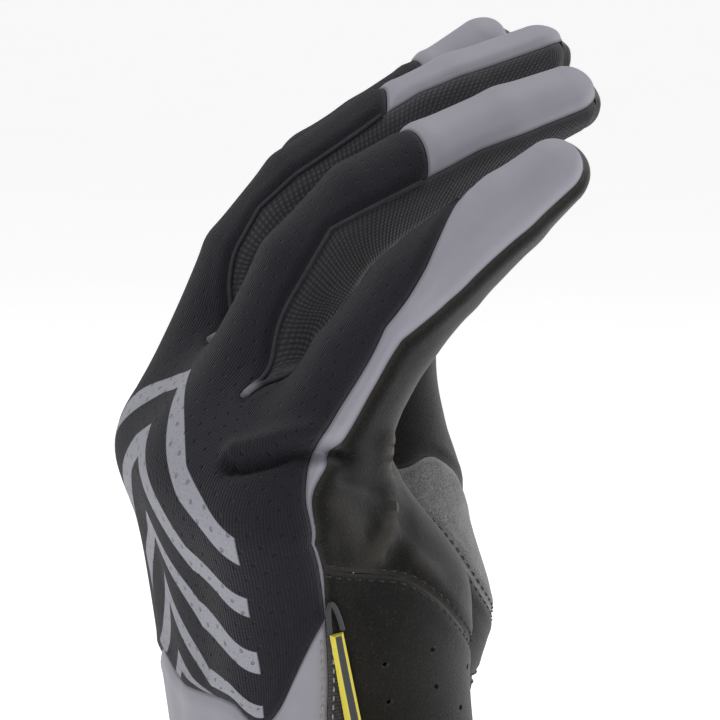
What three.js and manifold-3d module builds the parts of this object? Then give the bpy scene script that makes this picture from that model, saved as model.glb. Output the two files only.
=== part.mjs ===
// A right-hand work glove in the shape of a relaxed, half-closed hand, cut and sewn from separate panels.
// Millimetres. The origin is the middle of the cuff's mouth, where the wrist goes in.
// +Z runs up the wrist to the fingers, +X points to the little finger's side, +Y points out of the palm.
//
// The glove is modelled as it is made: a hand form, and cloth panels that are pulled over it.
// The form is a smooth union of flattened capsules, one for each bone. A seam is a row of probes.
// A probe starts inside the hand and points outwards to the place where the seam lies.
// A panel is the sheet between its seams, thickened inwards by its cloth.

import * as THREE from "three";
import Module from "manifold-3d";
import { mergeVertices } from "three/addons/utils/BufferGeometryUtils.js";

const wasm = await Module();
wasm.setup();

// Driving dimensions

const wristHeight = 46; // from the cuff's mouth to the wrist joint
const wristSetBack = -2; // y of the wrist joint
const mouthHalf = { wide: 36, thick: 27.5 }; // half of the cuff's mouth, across and deep
const wristHalf = { wide: 31, thick: 21.5 };
const bandTop = 34; // where the elastic band ends and the hand panels start
const bindingHeight = 5; // rolled edge at the mouth
const bindingProud = 0.9; // how far the binding stands out from the band
const bindingRoll = 0.5; // and how far it is rolled in over the band's wall

const knitWall = 1.2; // stretch knit of the back
const capWall = 1.3; // smooth grey covers on the fingertips and the wrist
const twillWall = 1.0; // cloth between the fingers
const suedeWall = 1.2; // suede of the palm
const bandWall = 1.6; // elastic band
const seamGap = 0.6; // between the edges of two panels that are sewn together

// Vent holes in the heel panel: rows that climb to the thumb's side, each shifted by a share of the pitch.
const ventHole = { diameter: 1.1, pitch: 8.5, rowHeight: 6.8, rise: 2.2, shift: 0.25, rows: 4, columns: 4 };
const firstVent = { around: 61.5, height: 95.5 };
// Pull tab of folded webbing. It stands on edge, and grows prouder and wider as it runs down.
const tab = { top: 101.5, length: 42, proud: 5.5, outerEdge: 1.5, root: 3.2, clearance: 0.3 };
const tabGrowth = { proudAtTop: 0.35, over: 0.6, widthAtTop: 0.75, widthAtEnd: 1.1 };
const tabLine = { from: 18, y: -6.1, slant: 0.24 }; // y at its top; it moves to the palm as it runs down
const tabLoop = { cord: 0.9, halfWidth: 1.1, height: 5 };

// A row for each finger: its knuckle, x of its bone at the wrist, lean to the side in degrees,
// bone lengths, bend of each bone from +Z in degrees, half thickness and half width at the knuckle,
// the two joints and the tip, and how far the finger is rolled at the knuckle and at the tip.
const fingerSizes = [
  { name: "index", knuckle: [-29, -16.5, 128], wristX: -14, lean: -2.5,
    bones: [48, 27.6, 19.6], bend: [24, 54.8, 52.3], thick: [10.2, 9.8, 7.7, 5.6],
    wide: [9.5, 8.8, 8.1, 6.8], roll: [-10, 40] },
  { name: "middle", knuckle: [-9.5, -19.5, 128], wristX: -5, lean: -0.5,
    bones: [43.3, 33.9, 24.4], bend: [20.2, 52.4, 67.3], thick: [12.8, 11, 7.9, 5.6],
    wide: [9.7, 8.9, 8.2, 6.9], roll: [-4, 14] },
  { name: "ring", knuckle: [11, -20, 126.5], wristX: 4, lean: 1.5,
    bones: [46.3, 29.6, 20], bend: [25, 59, 67], thick: [10.8, 9.8, 8, 5.5],
    wide: [9.5, 8.7, 8.0, 6.8], roll: [6, 34] },
  { name: "pinky", knuckle: [30, -13, 119], wristX: 13, lean: 5.5,
    bones: [38.5, 21.5, 18.2], bend: [26.3, 47.4, 50], thick: [10.2, 9.8, 8.8, 6.1],
    wide: [8.9, 8.3, 7.6, 6.3], roll: [18, 38] },
];

// A row for each joint of the thumb, from its root to its tip.
const thumbJoints = [
  { at: [-18, 11, 62], wide: 16, thick: 18 },
  { at: [-25, 22.5, 95], wide: 14, thick: 14.6 },
  { at: [-27, 18, 128], wide: 10.8, thick: 10.4 },
  { at: [-22, 19, 151], wide: 10, thick: 8.8 },
];
const thumbBall = [ // the muscle that fills the thumb's root out to the palm
  { at: [-25, 21.5, 100], wide: 12, thick: 13.4 },
  { at: [-26, 20.5, 118], wide: 10.5, thick: 12.2 },
];

// The flesh of the palm, from the wrist up: the ball under the little finger and the middle of the hand.
const palmFlesh = [
  [{ at: [19, 9, 58], wide: 15, thick: 17 }, { at: [24, 5, 104], wide: 13.5, thick: 14 }],
  [{ at: [24, 5, 104], wide: 13.5, thick: 14 }, { at: [23, -2, 121], wide: 12, thick: 11.5 }],
  [{ at: [3, 5, 60], wide: 14, thick: 14 }, { at: [3, -2, 110], wide: 14, thick: 11 }],
  [{ at: [2, 8, 62], wide: 14, thick: 15 }, { at: [-3, 8.5, 104], wide: 13, thick: 13.5 }],
];
const boneAtWrist = { wide: 12, thick: 15 };
const boneAtKnuckle = { wide: 12.3, thick: 10.6 };
const thumbWeb = [{ at: [-26, 8, 92], wide: 9, thick: 8 }, { at: [-27, 3, 111], wide: 8, thick: 6 }];

// The webs between the fingers: one behind the slit, and a ledge of cloth over the dip between knuckles.
// Each runs from the knuckles to a place past them, and is raised that far towards the back at its two ends.
const fingerWeb = { past: 18, raised: [-2, -4.5], sizes: [{ wide: 9, thick: 9.5 }, { wide: 8, thick: 6 }] };
const ledge = { past: 14, raised: [3, 2.6], sizes: [{ wide: 8, thick: 6 }, { wide: 7, thick: 5 }] };

const bendReach = 8; // a finger bends in two steps, this far on either side of each joint
const boneFillet = 0.35; // roundings where the bodies of the form meet
const palmFillet = 3.6;
const handFillet = 3;
const slitFillet = 0.4;

// A row for each slit between two fingers: how far past the knuckles it ends on the back and on the palm.
const slits = [
  { back: 20, palm: 29 },
  { back: 20, palm: 29 },
  { back: 16, palm: 26 },
];
const forkRelief = 0.6; // how far the cloth between the fingers stays clear of a slit's point
const slitOpening = 17; // length over which the cloth between the fingers opens to its full width

// Edges of each finger's back cloth, in degrees from the middle of its back at four places:
// a quarter of the way along it, at its two joints and at its tip. Minus is the thumb's side.
// Where cover is given, the grey cover starts that far past the knuckle.
const backEdges = [
  { cover: 80, thumbSide: [-88, -92, -96, -96], outerSide: [26, 30, 44, 60] },
  { cover: 70.5, thumbSide: [-48, -48, -56, -60], outerSide: [42, 44, 50, 58] },
  { cover: 65, thumbSide: [-48, -48, -56, -60], outerSide: [50, 57, 66, 72] },
  { cover: 64, thumbSide: [-50, -50, -52, -56], outerSide: [70, 74, 71, 62] },
];
const palmEdge = 126; // edge of the suede on the palm side of a finger
const tipReach = 76; // how far the covers reach over the fingertips, in degrees

// The little finger's knit gives way to a grey side strip that tapers down the edge of the hand.
// A row for each place past the knuckle: the edge of the knit and the seam to the suede, in degrees.
const sideStrip = [
  { past: -13, knit: 86, seam: 88.5 },
  { past: -5, knit: 85, seam: 88 },
  { past: 2, knit: 76.5, seam: 80 },
  { past: 8, knit: 57, seam: 64 },
  { past: 14, knit: 45, seam: 65 },
  { past: 22, knit: 46, seam: 70 },
  { past: 34, knit: 49, seam: 71 },
  { past: 43, knit: 41, seam: 76 },
  { past: 50, knit: 26, seam: 78 },
  { past: 55, knit: 9, seam: 78 },
  { past: 60, knit: -17, seam: 78 },
  { past: 64, knit: -47, seam: 78 },
];

// Heights of the two seams that run around the hand, with the angle around it in degrees:
// 0 is the middle of the palm, 90 the little finger's edge, 180 the middle of the back.
const yokeSeam = [
  { around: 83.5, height: 104 }, { around: 89, height: 99.5 }, { around: 96, height: 93 },
  { around: 102, height: 88 }, { around: 109, height: 85 }, { around: 117, height: 84.5 },
  { around: 128, height: 87.5 }, { around: 152, height: 88 }, { around: 182, height: 88.6 },
  { around: 193, height: 91 }, { around: 212, height: 91 }, { around: 234, height: 88 },
  { around: 254, height: 92 }, { around: 272, height: 99 },
];
const heelSeam = [
  { around: -88, height: 99 }, { around: -62, height: 90 }, { around: -35, height: 84 },
  { around: -8, height: 84 }, { around: 14, height: 90 }, { around: 30, height: 96.5 },
  { around: 41, height: 102 }, { around: 48, height: 106.5 }, { around: 56, height: 110.5 },
  { around: 68, height: 111.5 }, { around: 84.5, height: 112 },
];
const gusset = [
  { height: 34, palmSide: 66, backSide: 78 }, { height: 60, palmSide: 68, backSide: 78 },
  { height: 88, palmSide: 71, backSide: 79.2 }, { height: 104, palmSide: 81.5, backSide: 83.5 },
];

// The seam around the root of the thumb, from the little finger's side past the palm side and round.
// Each row holds a place near the seam, the way out of the cloth there, and the angle around the thumb.
const thumbSeam = [
  { at: [-13, 18, 119], out: [1, 0, 0], around: 90 },
  { at: [-13.5, 28, 109], out: [0.85, 0.5, 0], around: 62 },
  { at: [-16, 34, 99], out: [0.5, 0.87, 0], around: 32 },
  { at: [-25, 37, 92.5], out: [0, 1, 0], around: 0 },
  { at: [-35, 32, 92], out: [-0.6, 0.8, 0], around: -35 },
  { at: [-39, 22, 97], out: [-1, 0.2, 0], around: -75 },
  { at: [-39, 11, 106], out: [-0.95, 0, 0.3], around: -110 },
  { at: [-34, 4, 116], out: [-0.5, -0.1, 0.85], around: -150 },
  { at: [-26, 3, 119.5], out: [0, -0.2, 1], around: -180 },
  { at: [-17, 7, 120], out: [0.6, -0.1, 0.8], around: -225 },
];
const thumbPatchTop = [
  { around: -45, height: 111 }, { around: 0, height: 115 }, { around: 25, height: 121 },
  { around: 60, height: 126 }, { around: 90, height: 128.5 }, { around: 210, height: 131 },
];

// Vectors and blends

const add = (a, b, s = 1) => [a[0] + b[0] * s, a[1] + b[1] * s, a[2] + b[2] * s];
const dot = (a, b) => a[0] * b[0] + a[1] * b[1] + a[2] * b[2];
const cross = (a, b) => [a[1] * b[2] - a[2] * b[1], a[2] * b[0] - a[0] * b[2], a[0] * b[1] - a[1] * b[0]];
const length = (a) => Math.sqrt(dot(a, a));
const scale = (a, s) => [a[0] * s, a[1] * s, a[2] * s];
const unit = (a) => scale(a, 1 / length(a));
const blend = (a, b, s) => [a[0] + (b[0] - a[0]) * s, a[1] + (b[1] - a[1]) * s, a[2] + (b[2] - a[2]) * s];
const mix = (a, b, s) => a + (b - a) * s;
const clamp = (x) => Math.min(1, Math.max(0, x));
const ease = (x) => clamp(x) ** 2 * (3 - 2 * clamp(x));
const radians = (degrees) => (degrees * Math.PI) / 180;
const fullTurn = 360;

// Reads a column of a table at a place between its rows, with smooth slopes.
function readTable(rows, place, column, at) {
  let k = 0;
  while (k < rows.length - 2 && at > rows[k + 1][place]) k += 1;
  const [low, high] = [rows[k], rows[k + 1]];
  const s = clamp((at - low[place]) / (high[place] - low[place]));
  const span = high[place] - low[place];
  const slope = (a, b) => (a && b ? (b[column] - a[column]) / (b[place] - a[place]) : 0);
  const slopeLow = slope(rows[k - 1] ?? low, high);
  const slopeHigh = slope(low, rows[k + 2] ?? high);
  return mix(low[column], high[column], s * s * (3 - 2 * s))
    + span * (s * (1 - s) * (1 - s) * slopeLow - s * s * (1 - s) * slopeHigh);
}

// Form of the hand

// Distance to a capsule with an elliptical, tapering section. side is the direction of its width.
function capsule(from, to, side) {
  const along = add(to.at, from.at, -1);
  const long = length(along);
  const axis = scale(along, 1 / long);
  const wide = unit(add(side, axis, -dot(side, axis)));
  const deep = cross(axis, wide);
  return (p) => {
    const q = add(p, from.at, -1);
    const x = dot(q, axis);
    const s = clamp(x / long);
    const past = x - s * long;
    const y = dot(q, wide);
    const z = dot(q, deep);
    const w = mix(from.wide, to.wide, s);
    const t = mix(from.thick, to.thick, s);
    const end = Math.min(w, t);
    const reach = Math.hypot(y / w, z / t, past / end) + 1e-9;
    return Math.hypot(past, y, z) * (1 - 1 / reach);
  };
}

// Smooth minimum: the union of bodies with a fillet of about the given size.
function union(bodies, fillet) {
  return (p) => {
    const d = bodies.map((body) => body(p));
    const least = Math.min(...d);
    return least - fillet * Math.log(d.reduce((sum, x) => sum + Math.exp((least - x) / fillet), 0));
  };
}

// A finger: its bones, the frame that travels along them, and its own body.
class Finger {
  constructor(size) {
    this.size = size;
    this.lean = [Math.sin(radians(size.lean)), 0, Math.cos(radians(size.lean))];
    this.across = [Math.cos(radians(size.lean)), 0, -Math.sin(radians(size.lean))];
    this.points = [[size.wristX, wristSetBack, wristHeight], size.knuckle];
    const hand = add(this.points[1], this.points[0], -1);
    this.bends = [Math.atan2(hand[1], hand[2]), ...size.bend.map(radians)];
    this.stations = [-length(hand), 0];
    size.bones.forEach((bone, k) => {
      const bend = this.bends[k + 1];
      const step = add(scale(this.lean, Math.cos(bend)), [0, 1, 0], Math.sin(bend));
      this.points.push(add(this.points[k + 1], step, bone));
      this.stations.push(this.stations[k + 1] + bone);
    });
    this.end = this.stations[4];
  }

  spine(past) {
    let k = 0;
    while (k < 3 && past > this.stations[k + 1]) k += 1;
    const s = (past - this.stations[k]) / (this.stations[k + 1] - this.stations[k]);
    return blend(this.points[k], this.points[k + 1], s);
  }

  frame(past) {
    const easing = 10; // the frame turns over this length on either side of a joint
    let bend = this.bends[0];
    for (let k = 1; k < 4; k += 1) {
      const turned = ease((past - this.stations[k] + easing) / (2 * easing));
      bend += (this.bends[k] - this.bends[k - 1]) * turned;
    }
    const along = add(scale(this.lean, Math.cos(bend)), [0, 1, 0], Math.sin(bend));
    const back = add(scale(this.lean, Math.sin(bend)), [0, 1, 0], -Math.cos(bend));
    const [rollKnuckle, rollTip] = this.size.roll;
    const roll = radians(mix(rollKnuckle, rollTip, clamp(past / this.end))) * clamp(1 + past / 60);
    return {
      along,
      back: add(scale(back, Math.cos(roll)), this.across, Math.sin(roll)),
      side: add(scale(this.across, Math.cos(roll)), back, -Math.sin(roll)),
    };
  }

  // A probe through the skin, by place along the finger and angle around it from the middle of its back.
  probe(past, angle) {
    const { back, side } = this.frame(past);
    const turn = radians(angle);
    return { from: this.spine(past), to: add(scale(back, Math.cos(turn)), side, Math.sin(turn)) };
  }

  // A probe through the rounded end, by angle around the finger and angle over its tip.
  tipProbe(angle, over) {
    const { along, back, side } = this.frame(this.end);
    const turn = radians(Math.hypot(angle, over)) + 1e-9;
    const out = add(scale(side, radians(angle) / turn), along, radians(over) / turn);
    return { from: this.spine(this.end), to: add(scale(back, Math.cos(turn)), out, Math.sin(turn)) };
  }

  body() {
    const { thick, wide } = this.size;
    const [, start, first, second, end] = this.stations;
    const joint = (past) => {
      const k = [first, second].filter((stop) => past > stop).length;
      const s = (past - this.stations[k + 1]) / this.size.bones[k];
      return { at: this.spine(past), wide: mix(wide[k], wide[k + 1], s), thick: mix(thick[k], thick[k + 1], s) };
    };
    const stops = [start, first - bendReach, first + bendReach, second - bendReach, second + bendReach, end];
    const lengths = stops.slice(1).map((stop, k) => {
      const { side } = this.frame((stops[k] + stop) / 2);
      return capsule(joint(stops[k]), joint(stop), side);
    });
    return union(lengths, boneFillet);
  }
}

const fingers = fingerSizes.map((size) => new Finger(size));
const thumbSide = [1, 0.2, 0];

// The palm and the back of the hand, the wrist, the webs between the fingers and the thumb.
function handBody() {
  const across = [1, 0, 0];
  const bodies = fingers.map((finger) => capsule(
    { at: finger.points[0], ...boneAtWrist },
    { at: finger.points[1], ...boneAtKnuckle },
    across,
  ));
  const mouth = { at: [0, 0, -6], ...mouthHalf }; // the form runs on below the glove's mouth
  const wrist = { at: [0, wristSetBack / 2, wristHeight], ...wristHalf };
  bodies.push(capsule(mouth, wrist, across));
  palmFlesh.forEach((ends) => bodies.push(capsule(...ends, across)));
  fingers.slice(1).forEach((finger, k) => {
    const neighbour = fingers[k];
    const { back, side } = neighbour.frame(12);
    const root = blend(neighbour.points[1], finger.points[1], 0.5);
    for (const { past, raised, sizes } of [fingerWeb, ledge]) {
      const end = blend(neighbour.spine(past), finger.spine(past), 0.5);
      const [from, to] = [root, end].map((at, n) => ({ at: add(at, back, raised[n]), ...sizes[n] }));
      bodies.push(capsule(from, to, side));
    }
  });
  bodies.push(capsule(...thumbWeb, [0, 1, 0]));
  const thumb = thumbJoints.slice(1).map((joint, k) => capsule(thumbJoints[k], joint, thumbSide));
  thumb.push(capsule(...thumbBall, thumbSide));
  return union([union(bodies, palmFillet), union(thumb, handFillet)], handFillet);
}

const hand = handBody();
const form = union(fingers.map((finger) => union([hand, finger.body()], handFillet)), slitFillet);

// Where a probe leaves the form: it is walked outwards to the first crossing, which is then halved in on.
function surfacePoint(probe) {
  const reach = 46;
  const stride = 1;
  const to = unit(probe.to);
  let inside = 0.5;
  let outside = inside;
  while (outside < reach && form(add(probe.from, to, outside)) <= 0) {
    inside = outside;
    outside += stride;
  }
  for (let k = 0; k < 13; k += 1) {
    const middle = (inside + outside) / 2;
    if (form(add(probe.from, to, middle)) > 0) outside = middle;
    else inside = middle;
  }
  return add(probe.from, to, (inside + outside) / 2);
}

function outward(p) {
  const h = 0.25;
  const slope = [[h, 0, 0], [0, h, 0], [0, 0, h]].map((step) => form(add(p, step)) - form(add(p, step, -1)));
  return unit(slope);
}

// Probes and sheets between them

const between = (a, b, s) => ({ from: blend(a.from, b.from, s), to: unit(blend(unit(a.to), unit(b.to), s)) });
const near = (row) => ({ from: add(row.at, unit(row.out), -11), to: unit(row.out) });

// A sheet between four edges. Each edge gives a probe for a share of its length.
function sheet(columns, rows, { bottom, top, left, right }) {
  const blendAll = (terms) => terms.reduce(
    ([from, to], [probe, weight]) => [add(from, probe.from, weight), add(to, unit(probe.to), weight)],
    [[0, 0, 0], [0, 0, 0]],
  );
  const points = [];
  for (let r = 0; r <= rows; r += 1) {
    for (let c = 0; c <= columns; c += 1) {
      const u = c / columns;
      const v = r / rows;
      const [from, to] = blendAll([
        [bottom(u), 1 - v], [top(u), v], [left(v), 1 - u], [right(v), u],
        [bottom(0), -(1 - u) * (1 - v)], [bottom(1), -u * (1 - v)], [top(0), -(1 - u) * v], [top(1), -u * v],
      ]);
      points.push(surfacePoint({ from, to }));
    }
  }
  return grid(columns, rows, points);
}

// A sheet whose probes are given one by one.
function chart(columns, rows, probe) {
  const points = [];
  for (let r = 0; r <= rows; r += 1) {
    for (let c = 0; c <= columns; c += 1) points.push(surfacePoint(probe(c / columns, r / rows)));
  }
  return grid(columns, rows, points);
}

// Triangles of a grid of points, wound so that they face out of the hand.
function grid(columns, rows, points) {
  const triangles = [];
  for (let r = 0; r < rows; r += 1) {
    for (let c = 0; c < columns; c += 1) {
      const a = r * (columns + 1) + c;
      const [b, d, e] = [a + 1, a + columns + 1, a + columns + 2];
      const slanted = length(add(points[a], points[e], -1)) < length(add(points[b], points[d], -1));
      triangles.push(...(slanted ? [[a, b, e], [a, e, d]] : [[a, b, d], [b, e, d]]));
    }
  }
  const facing = triangles.reduce((sum, [a, b, c]) => {
    const normal = cross(add(points[b], points[a], -1), add(points[c], points[a], -1));
    return sum + dot(normal, outward(points[a]));
  }, 0);
  return { points, triangles: facing > 0 ? triangles : triangles.map(([a, b, c]) => [a, c, b]) };
}

const samePoint = 0.015;

// Sheets that touch are joined into one skin, and points that fall together become one.
function joinSheets(sheets) {
  const points = [];
  const triangles = [];
  for (const part of sheets) {
    const place = part.points.map((p) => {
      const known = points.findIndex((q) => length(add(p, q, -1)) < samePoint);
      return known < 0 ? points.push(p) - 1 : known;
    });
    for (const [a, b, c] of part.triangles) {
      const [i, j, k] = [place[a], place[b], place[c]];
      if (i !== j && j !== k && k !== i) triangles.push([i, j, k]);
    }
  }
  return { points, triangles };
}

const sharpest = 0.22; // a sharp corner of a rim is drawn in no further than this lets it

// Gives a skin its thickness: the rim is drawn in by half the seam's gap, and a second skin lies inside.
function thicken(sheets, wall, proud = 0) {
  const { points, triangles } = joinSheets(sheets);
  const directed = new Set(triangles.flatMap(([a, b, c]) => [`${a},${b}`, `${b},${c}`, `${c},${a}`]));
  const edges = [...directed].map((edge) => edge.split(",").map(Number));
  const rim = edges.filter(([a, b]) => !directed.has(`${b},${a}`));
  const normals = points.map(outward);
  const inwards = points.map(() => []);
  for (const [a, b] of rim) {
    const inward = unit(cross(unit(add(normals[a], normals[b])), add(points[b], points[a], -1)));
    inwards[a].push(inward);
    inwards[b].push(inward);
  }
  const skin = points.map((p, k) => {
    if (inwards[k].length < 2) return p;
    const sum = inwards[k].reduce((total, inward) => add(total, inward), [0, 0, 0]);
    const corner = Math.max(sharpest, dot(sum, inwards[k][0]) / length(sum));
    return add(p, unit(sum), seamGap / 2 / corner);
  });
  const outer = skin.map((p, k) => add(p, normals[k], proud));
  const inner = skin.map((p, k) => add(p, normals[k], -wall));
  const n = points.length;
  const faces = [
    ...triangles,
    ...triangles.map(([a, b, c]) => [a + n, c + n, b + n]),
    ...rim.flatMap(([a, b]) => [[b, a, a + n], [b, a + n, b + n]]),
  ];
  const geometry = new THREE.BufferGeometry();
  geometry.setAttribute("position", new THREE.Float32BufferAttribute([...outer, ...inner].flat(), 3));
  geometry.setIndex(faces.flat());
  return geometry;
}

// Seams

const probeStart = { wide: 0.676, deep: 0.2 }; // where probes start, as shares of the wrist's half sizes
const centreRise = 40; // over this height above the wrist the middle of the hand moves to its bones
function ringProbe(around, height) {
  const turn = radians(around);
  const [, handCentre] = fingers[1].spine(fingers[1].stations[0] / 2);
  const centre = mix(0, handCentre, clamp((height - wristHeight) / centreRise));
  const from = [
    wristHalf.wide * probeStart.wide * Math.sin(turn),
    centre + wristHalf.thick * probeStart.deep * Math.cos(turn),
    height,
  ];
  return { from, to: [Math.sin(turn), Math.cos(turn), 0] };
}

const heelAngles = [-88, -14, 12, 36, 84.5]; // borders of the palm's columns on the heel seam
const yokeAngles = [272, 200, 168, 140, 83.5]; // borders of the back's columns on the yoke seam
const heelProbe = (around) => ringProbe(around, readTable(heelSeam, "around", "height", around));
const yokeProbe = (around) => ringProbe(around, readTable(yokeSeam, "around", "height", around));

function edgeAngle(k, side, past) {
  const edges = side < 0 ? backEdges[k].thumbSide : backEdges[k].outerSide;
  const [, , first, second, end] = fingers[k].stations;
  const places = [end / 4, first, second, end];
  const rows = edges.map((angle, n) => ({ past: places[n], angle }));
  return readTable(rows, "past", "angle", Math.max(past, places[0]));
}
const stripAngle = (column, past) => readTable(sideStrip, "past", column, past);
const hasNeighbour = (k, side) => k + side >= 0 && k + side < fingers.length;
const slitOf = (k, side) => slits[side > 0 ? k : k - 1];

// The line midway between two fingers, on the back or on the palm.
function midProbe(k, side, past, facing) {
  const [a, b] = [fingers[k], fingers[k + side]];
  const back = unit(add(a.frame(past).back, b.frame(past).back));
  return { from: blend(a.spine(past), b.spine(past), 0.5), to: scale(back, facing) };
}

// The long edge of a finger's cloth: midway to its neighbour up to the slit, then on the finger's own side.
function edgeProbe(k, side, past, layer) {
  const finger = fingers[k];
  const onBack = layer === "back";
  if (!hasNeighbour(k, side)) {
    return finger.probe(past, k === 3 ? stripAngle("seam", past) : edgeAngle(k, side, past));
  }
  const slitEnd = slitOf(k, side)[layer];
  const own = finger.probe(past, onBack ? edgeAngle(k, side, past) : side * palmEdge);
  if (past >= slitEnd + slitOpening) return own;
  const middle = midProbe(k, side, past, onBack ? 1 : -1);
  return between(middle, own, ease((past - slitEnd) / slitOpening));
}

// Edge of the cover over the fingertip. across runs from -1 to 1 and over from 0 to 1, as on a half disc.
function coverTip(k, across, over) {
  const low = edgeAngle(k, -1, fingers[k].end);
  const high = k === 3 ? stripAngle("seam", fingers[3].end) : edgeAngle(k, 1, fingers[k].end);
  const x = across * Math.sqrt(1 - (over * over) / 2);
  const y = over * Math.sqrt(1 - (across * across) / 2);
  return fingers[k].tipProbe((low + high) / 2 + (x * (high - low)) / 2, y * tipReach);
}

function turnTowards(a, b, s) {
  const angle = Math.acos(Math.min(1, Math.max(-1, dot(a.to, b.to))));
  const to = add(scale(a.to, Math.sin((1 - s) * angle)), b.to, Math.sin(s * angle));
  return { from: blend(a.from, b.from, s), to: unit(to) };
}

// Side edge of the suede as it climbs over the fingertip to meet the cover.
function palmTipSide(k, side, s) {
  if (!hasNeighbour(k, side)) return coverTip(k, side, s);
  return turnTowards(fingers[k].probe(fingers[k].end, side * palmEdge), coverTip(k, side, 1), s);
}

// The seam around the thumb's root, by row number.
function thumbSeamProbe(row) {
  const n = thumbSeam.length;
  const k = Math.floor(row);
  const s = row - k;
  const [a, b, c, d] = [-1, 0, 1, 2].map((step) => near(thumbSeam[(k + step + n) % n]));
  const spline = (p0, p1, p2, p3) => p1.map((_, i) => {
    const [w, x, y, z] = [p0[i], p1[i], p2[i], p3[i]];
    return x + 0.5 * s * (y - w + s * (2 * w - 5 * x + 4 * y - z + s * (3 * (x - y) + z - w)));
  });
  return { from: spline(a.from, b.from, c.from, d.from), to: unit(spline(a.to, b.to, c.to, d.to)) };
}

function thumbSeamAngle(row) {
  const n = thumbSeam.length;
  const k = Math.floor(row);
  const angle = (j) => thumbSeam[j % n].around - fullTurn * Math.floor(j / n);
  return mix(angle(k), angle(k + 1), row - k);
}

const rowsLow = 12; // rows of the back panel below the slits
const knuckleRow = 10; // row of its thumb-side edge just past the index finger's knuckle
const touchRows = [4, 7]; // rows of its thumb-side edge between which the thumb is sewn to it
const touchSeam = [6, 7]; // rows of the thumb's seam at the same two places

// Thumb-side edge of the back panel, from the yoke past the thumb to the index finger's slit height.
function thumbSideEdge(row) {
  const index = fingers[0];
  const stops = [
    { row: 0, probe: yokeProbe(yokeAngles[0]) },
    { row: touchRows[0], probe: thumbSeamProbe(touchSeam[0]) },
    { row: touchRows[1], probe: thumbSeamProbe(touchSeam[1]) },
    { row: knuckleRow, probe: index.probe(6, edgeAngle(0, -1, 6)) },
    { row: rowsLow, probe: index.probe(slits[0].back, edgeAngle(0, -1, slits[0].back)) },
  ];
  if (row >= touchRows[0] && row <= touchRows[1]) {
    const s = (row - touchRows[0]) / (touchRows[1] - touchRows[0]);
    return thumbSeamProbe(mix(touchSeam[0], touchSeam[1], s));
  }
  const k = stops.findIndex((stop) => row <= stop.row) || 1;
  const [low, high] = [stops[k - 1], stops[k]];
  return between(low.probe, high.probe, (row - low.row) / (high.row - low.row));
}

// Borders between the back's columns below the slits, counted from the thumb's side. s runs up from the yoke.
function backBorder(border, s) {
  if (border === 0) return thumbSideEdge(s * rowsLow);
  const yoke = yokeProbe(yokeAngles[border]);
  if (border === 4) {
    const past = mix(sideStrip[0].past, slits[2].back, s);
    return between(yoke, fingers[3].probe(past, stripAngle("knit", past)), ease(s / 0.3));
  }
  const past = mix(-40, slits[border - 1].back, s);
  return between(yoke, midProbe(border - 1, 1, past, 1), ease(s / 0.45));
}

// Panels

const fingerColumns = 4;
const fingerRows = 9; // from a slit to the cover
const coverRows = 5; // from the cover's start to the last joint's end
const tipRows = 4;

// Place along a finger for a share of its rows, the same for its back, its front and the strips beside it.
function fingerPlace(k, slitEnd, v) {
  const row = v * (fingerRows + coverRows);
  if (row <= fingerRows) return mix(slitEnd, backEdges[k].cover, row / fingerRows);
  return mix(backEdges[k].cover, fingers[k].end, (row - fingerRows) / coverRows);
}
const coverBow = 3; // how far the middle of a cover's edge lies ahead of its corners
const coverStart = (k, across) => backEdges[k].cover + coverBow * (1 - across * across);

// Knit over the back of the hand and the fingers.
function backPanel() {
  const sheets = [];
  fingers.forEach((finger, k) => {
    const columns = k === 3 || k === 0 ? fingerColumns + 1 : fingerColumns;
    const slitRow = (side) => (hasNeighbour(k, side) ? slitOf(k, side).back : slitOf(k, -side).back);
    const acrossSlit = (u) => between(backBorder(k, 1), backBorder(k + 1, 1), u);
    sheets.push(sheet(columns, rowsLow, {
      bottom: (u) => yokeProbe(mix(yokeAngles[k], yokeAngles[k + 1], u)),
      top: acrossSlit,
      left: (v) => backBorder(k, v),
      right: (v) => backBorder(k + 1, v),
    }));
    const past = (side, v) => mix(slitRow(side), coverStart(k, side), v);
    const left = (v) => edgeProbe(k, -1, past(-1, v), "back");
    const right = (v) => (k === 3
      ? finger.probe(past(1, v), stripAngle("knit", past(1, v)))
      : edgeProbe(k, 1, past(1, v), "back"));
    const top = (u) => {
      const across = 2 * u - 1;
      if (k === 3) return between(left(1), right(1), u);
      const turn = mix(edgeAngle(k, -1, past(-1, 1)), edgeAngle(k, 1, past(1, 1)), u);
      return finger.probe(coverStart(k, across), turn);
    };
    sheets.push(sheet(columns, fingerRows, { bottom: acrossSlit, top, left, right }));
  });
  return thicken(sheets, knitWall);
}

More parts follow.
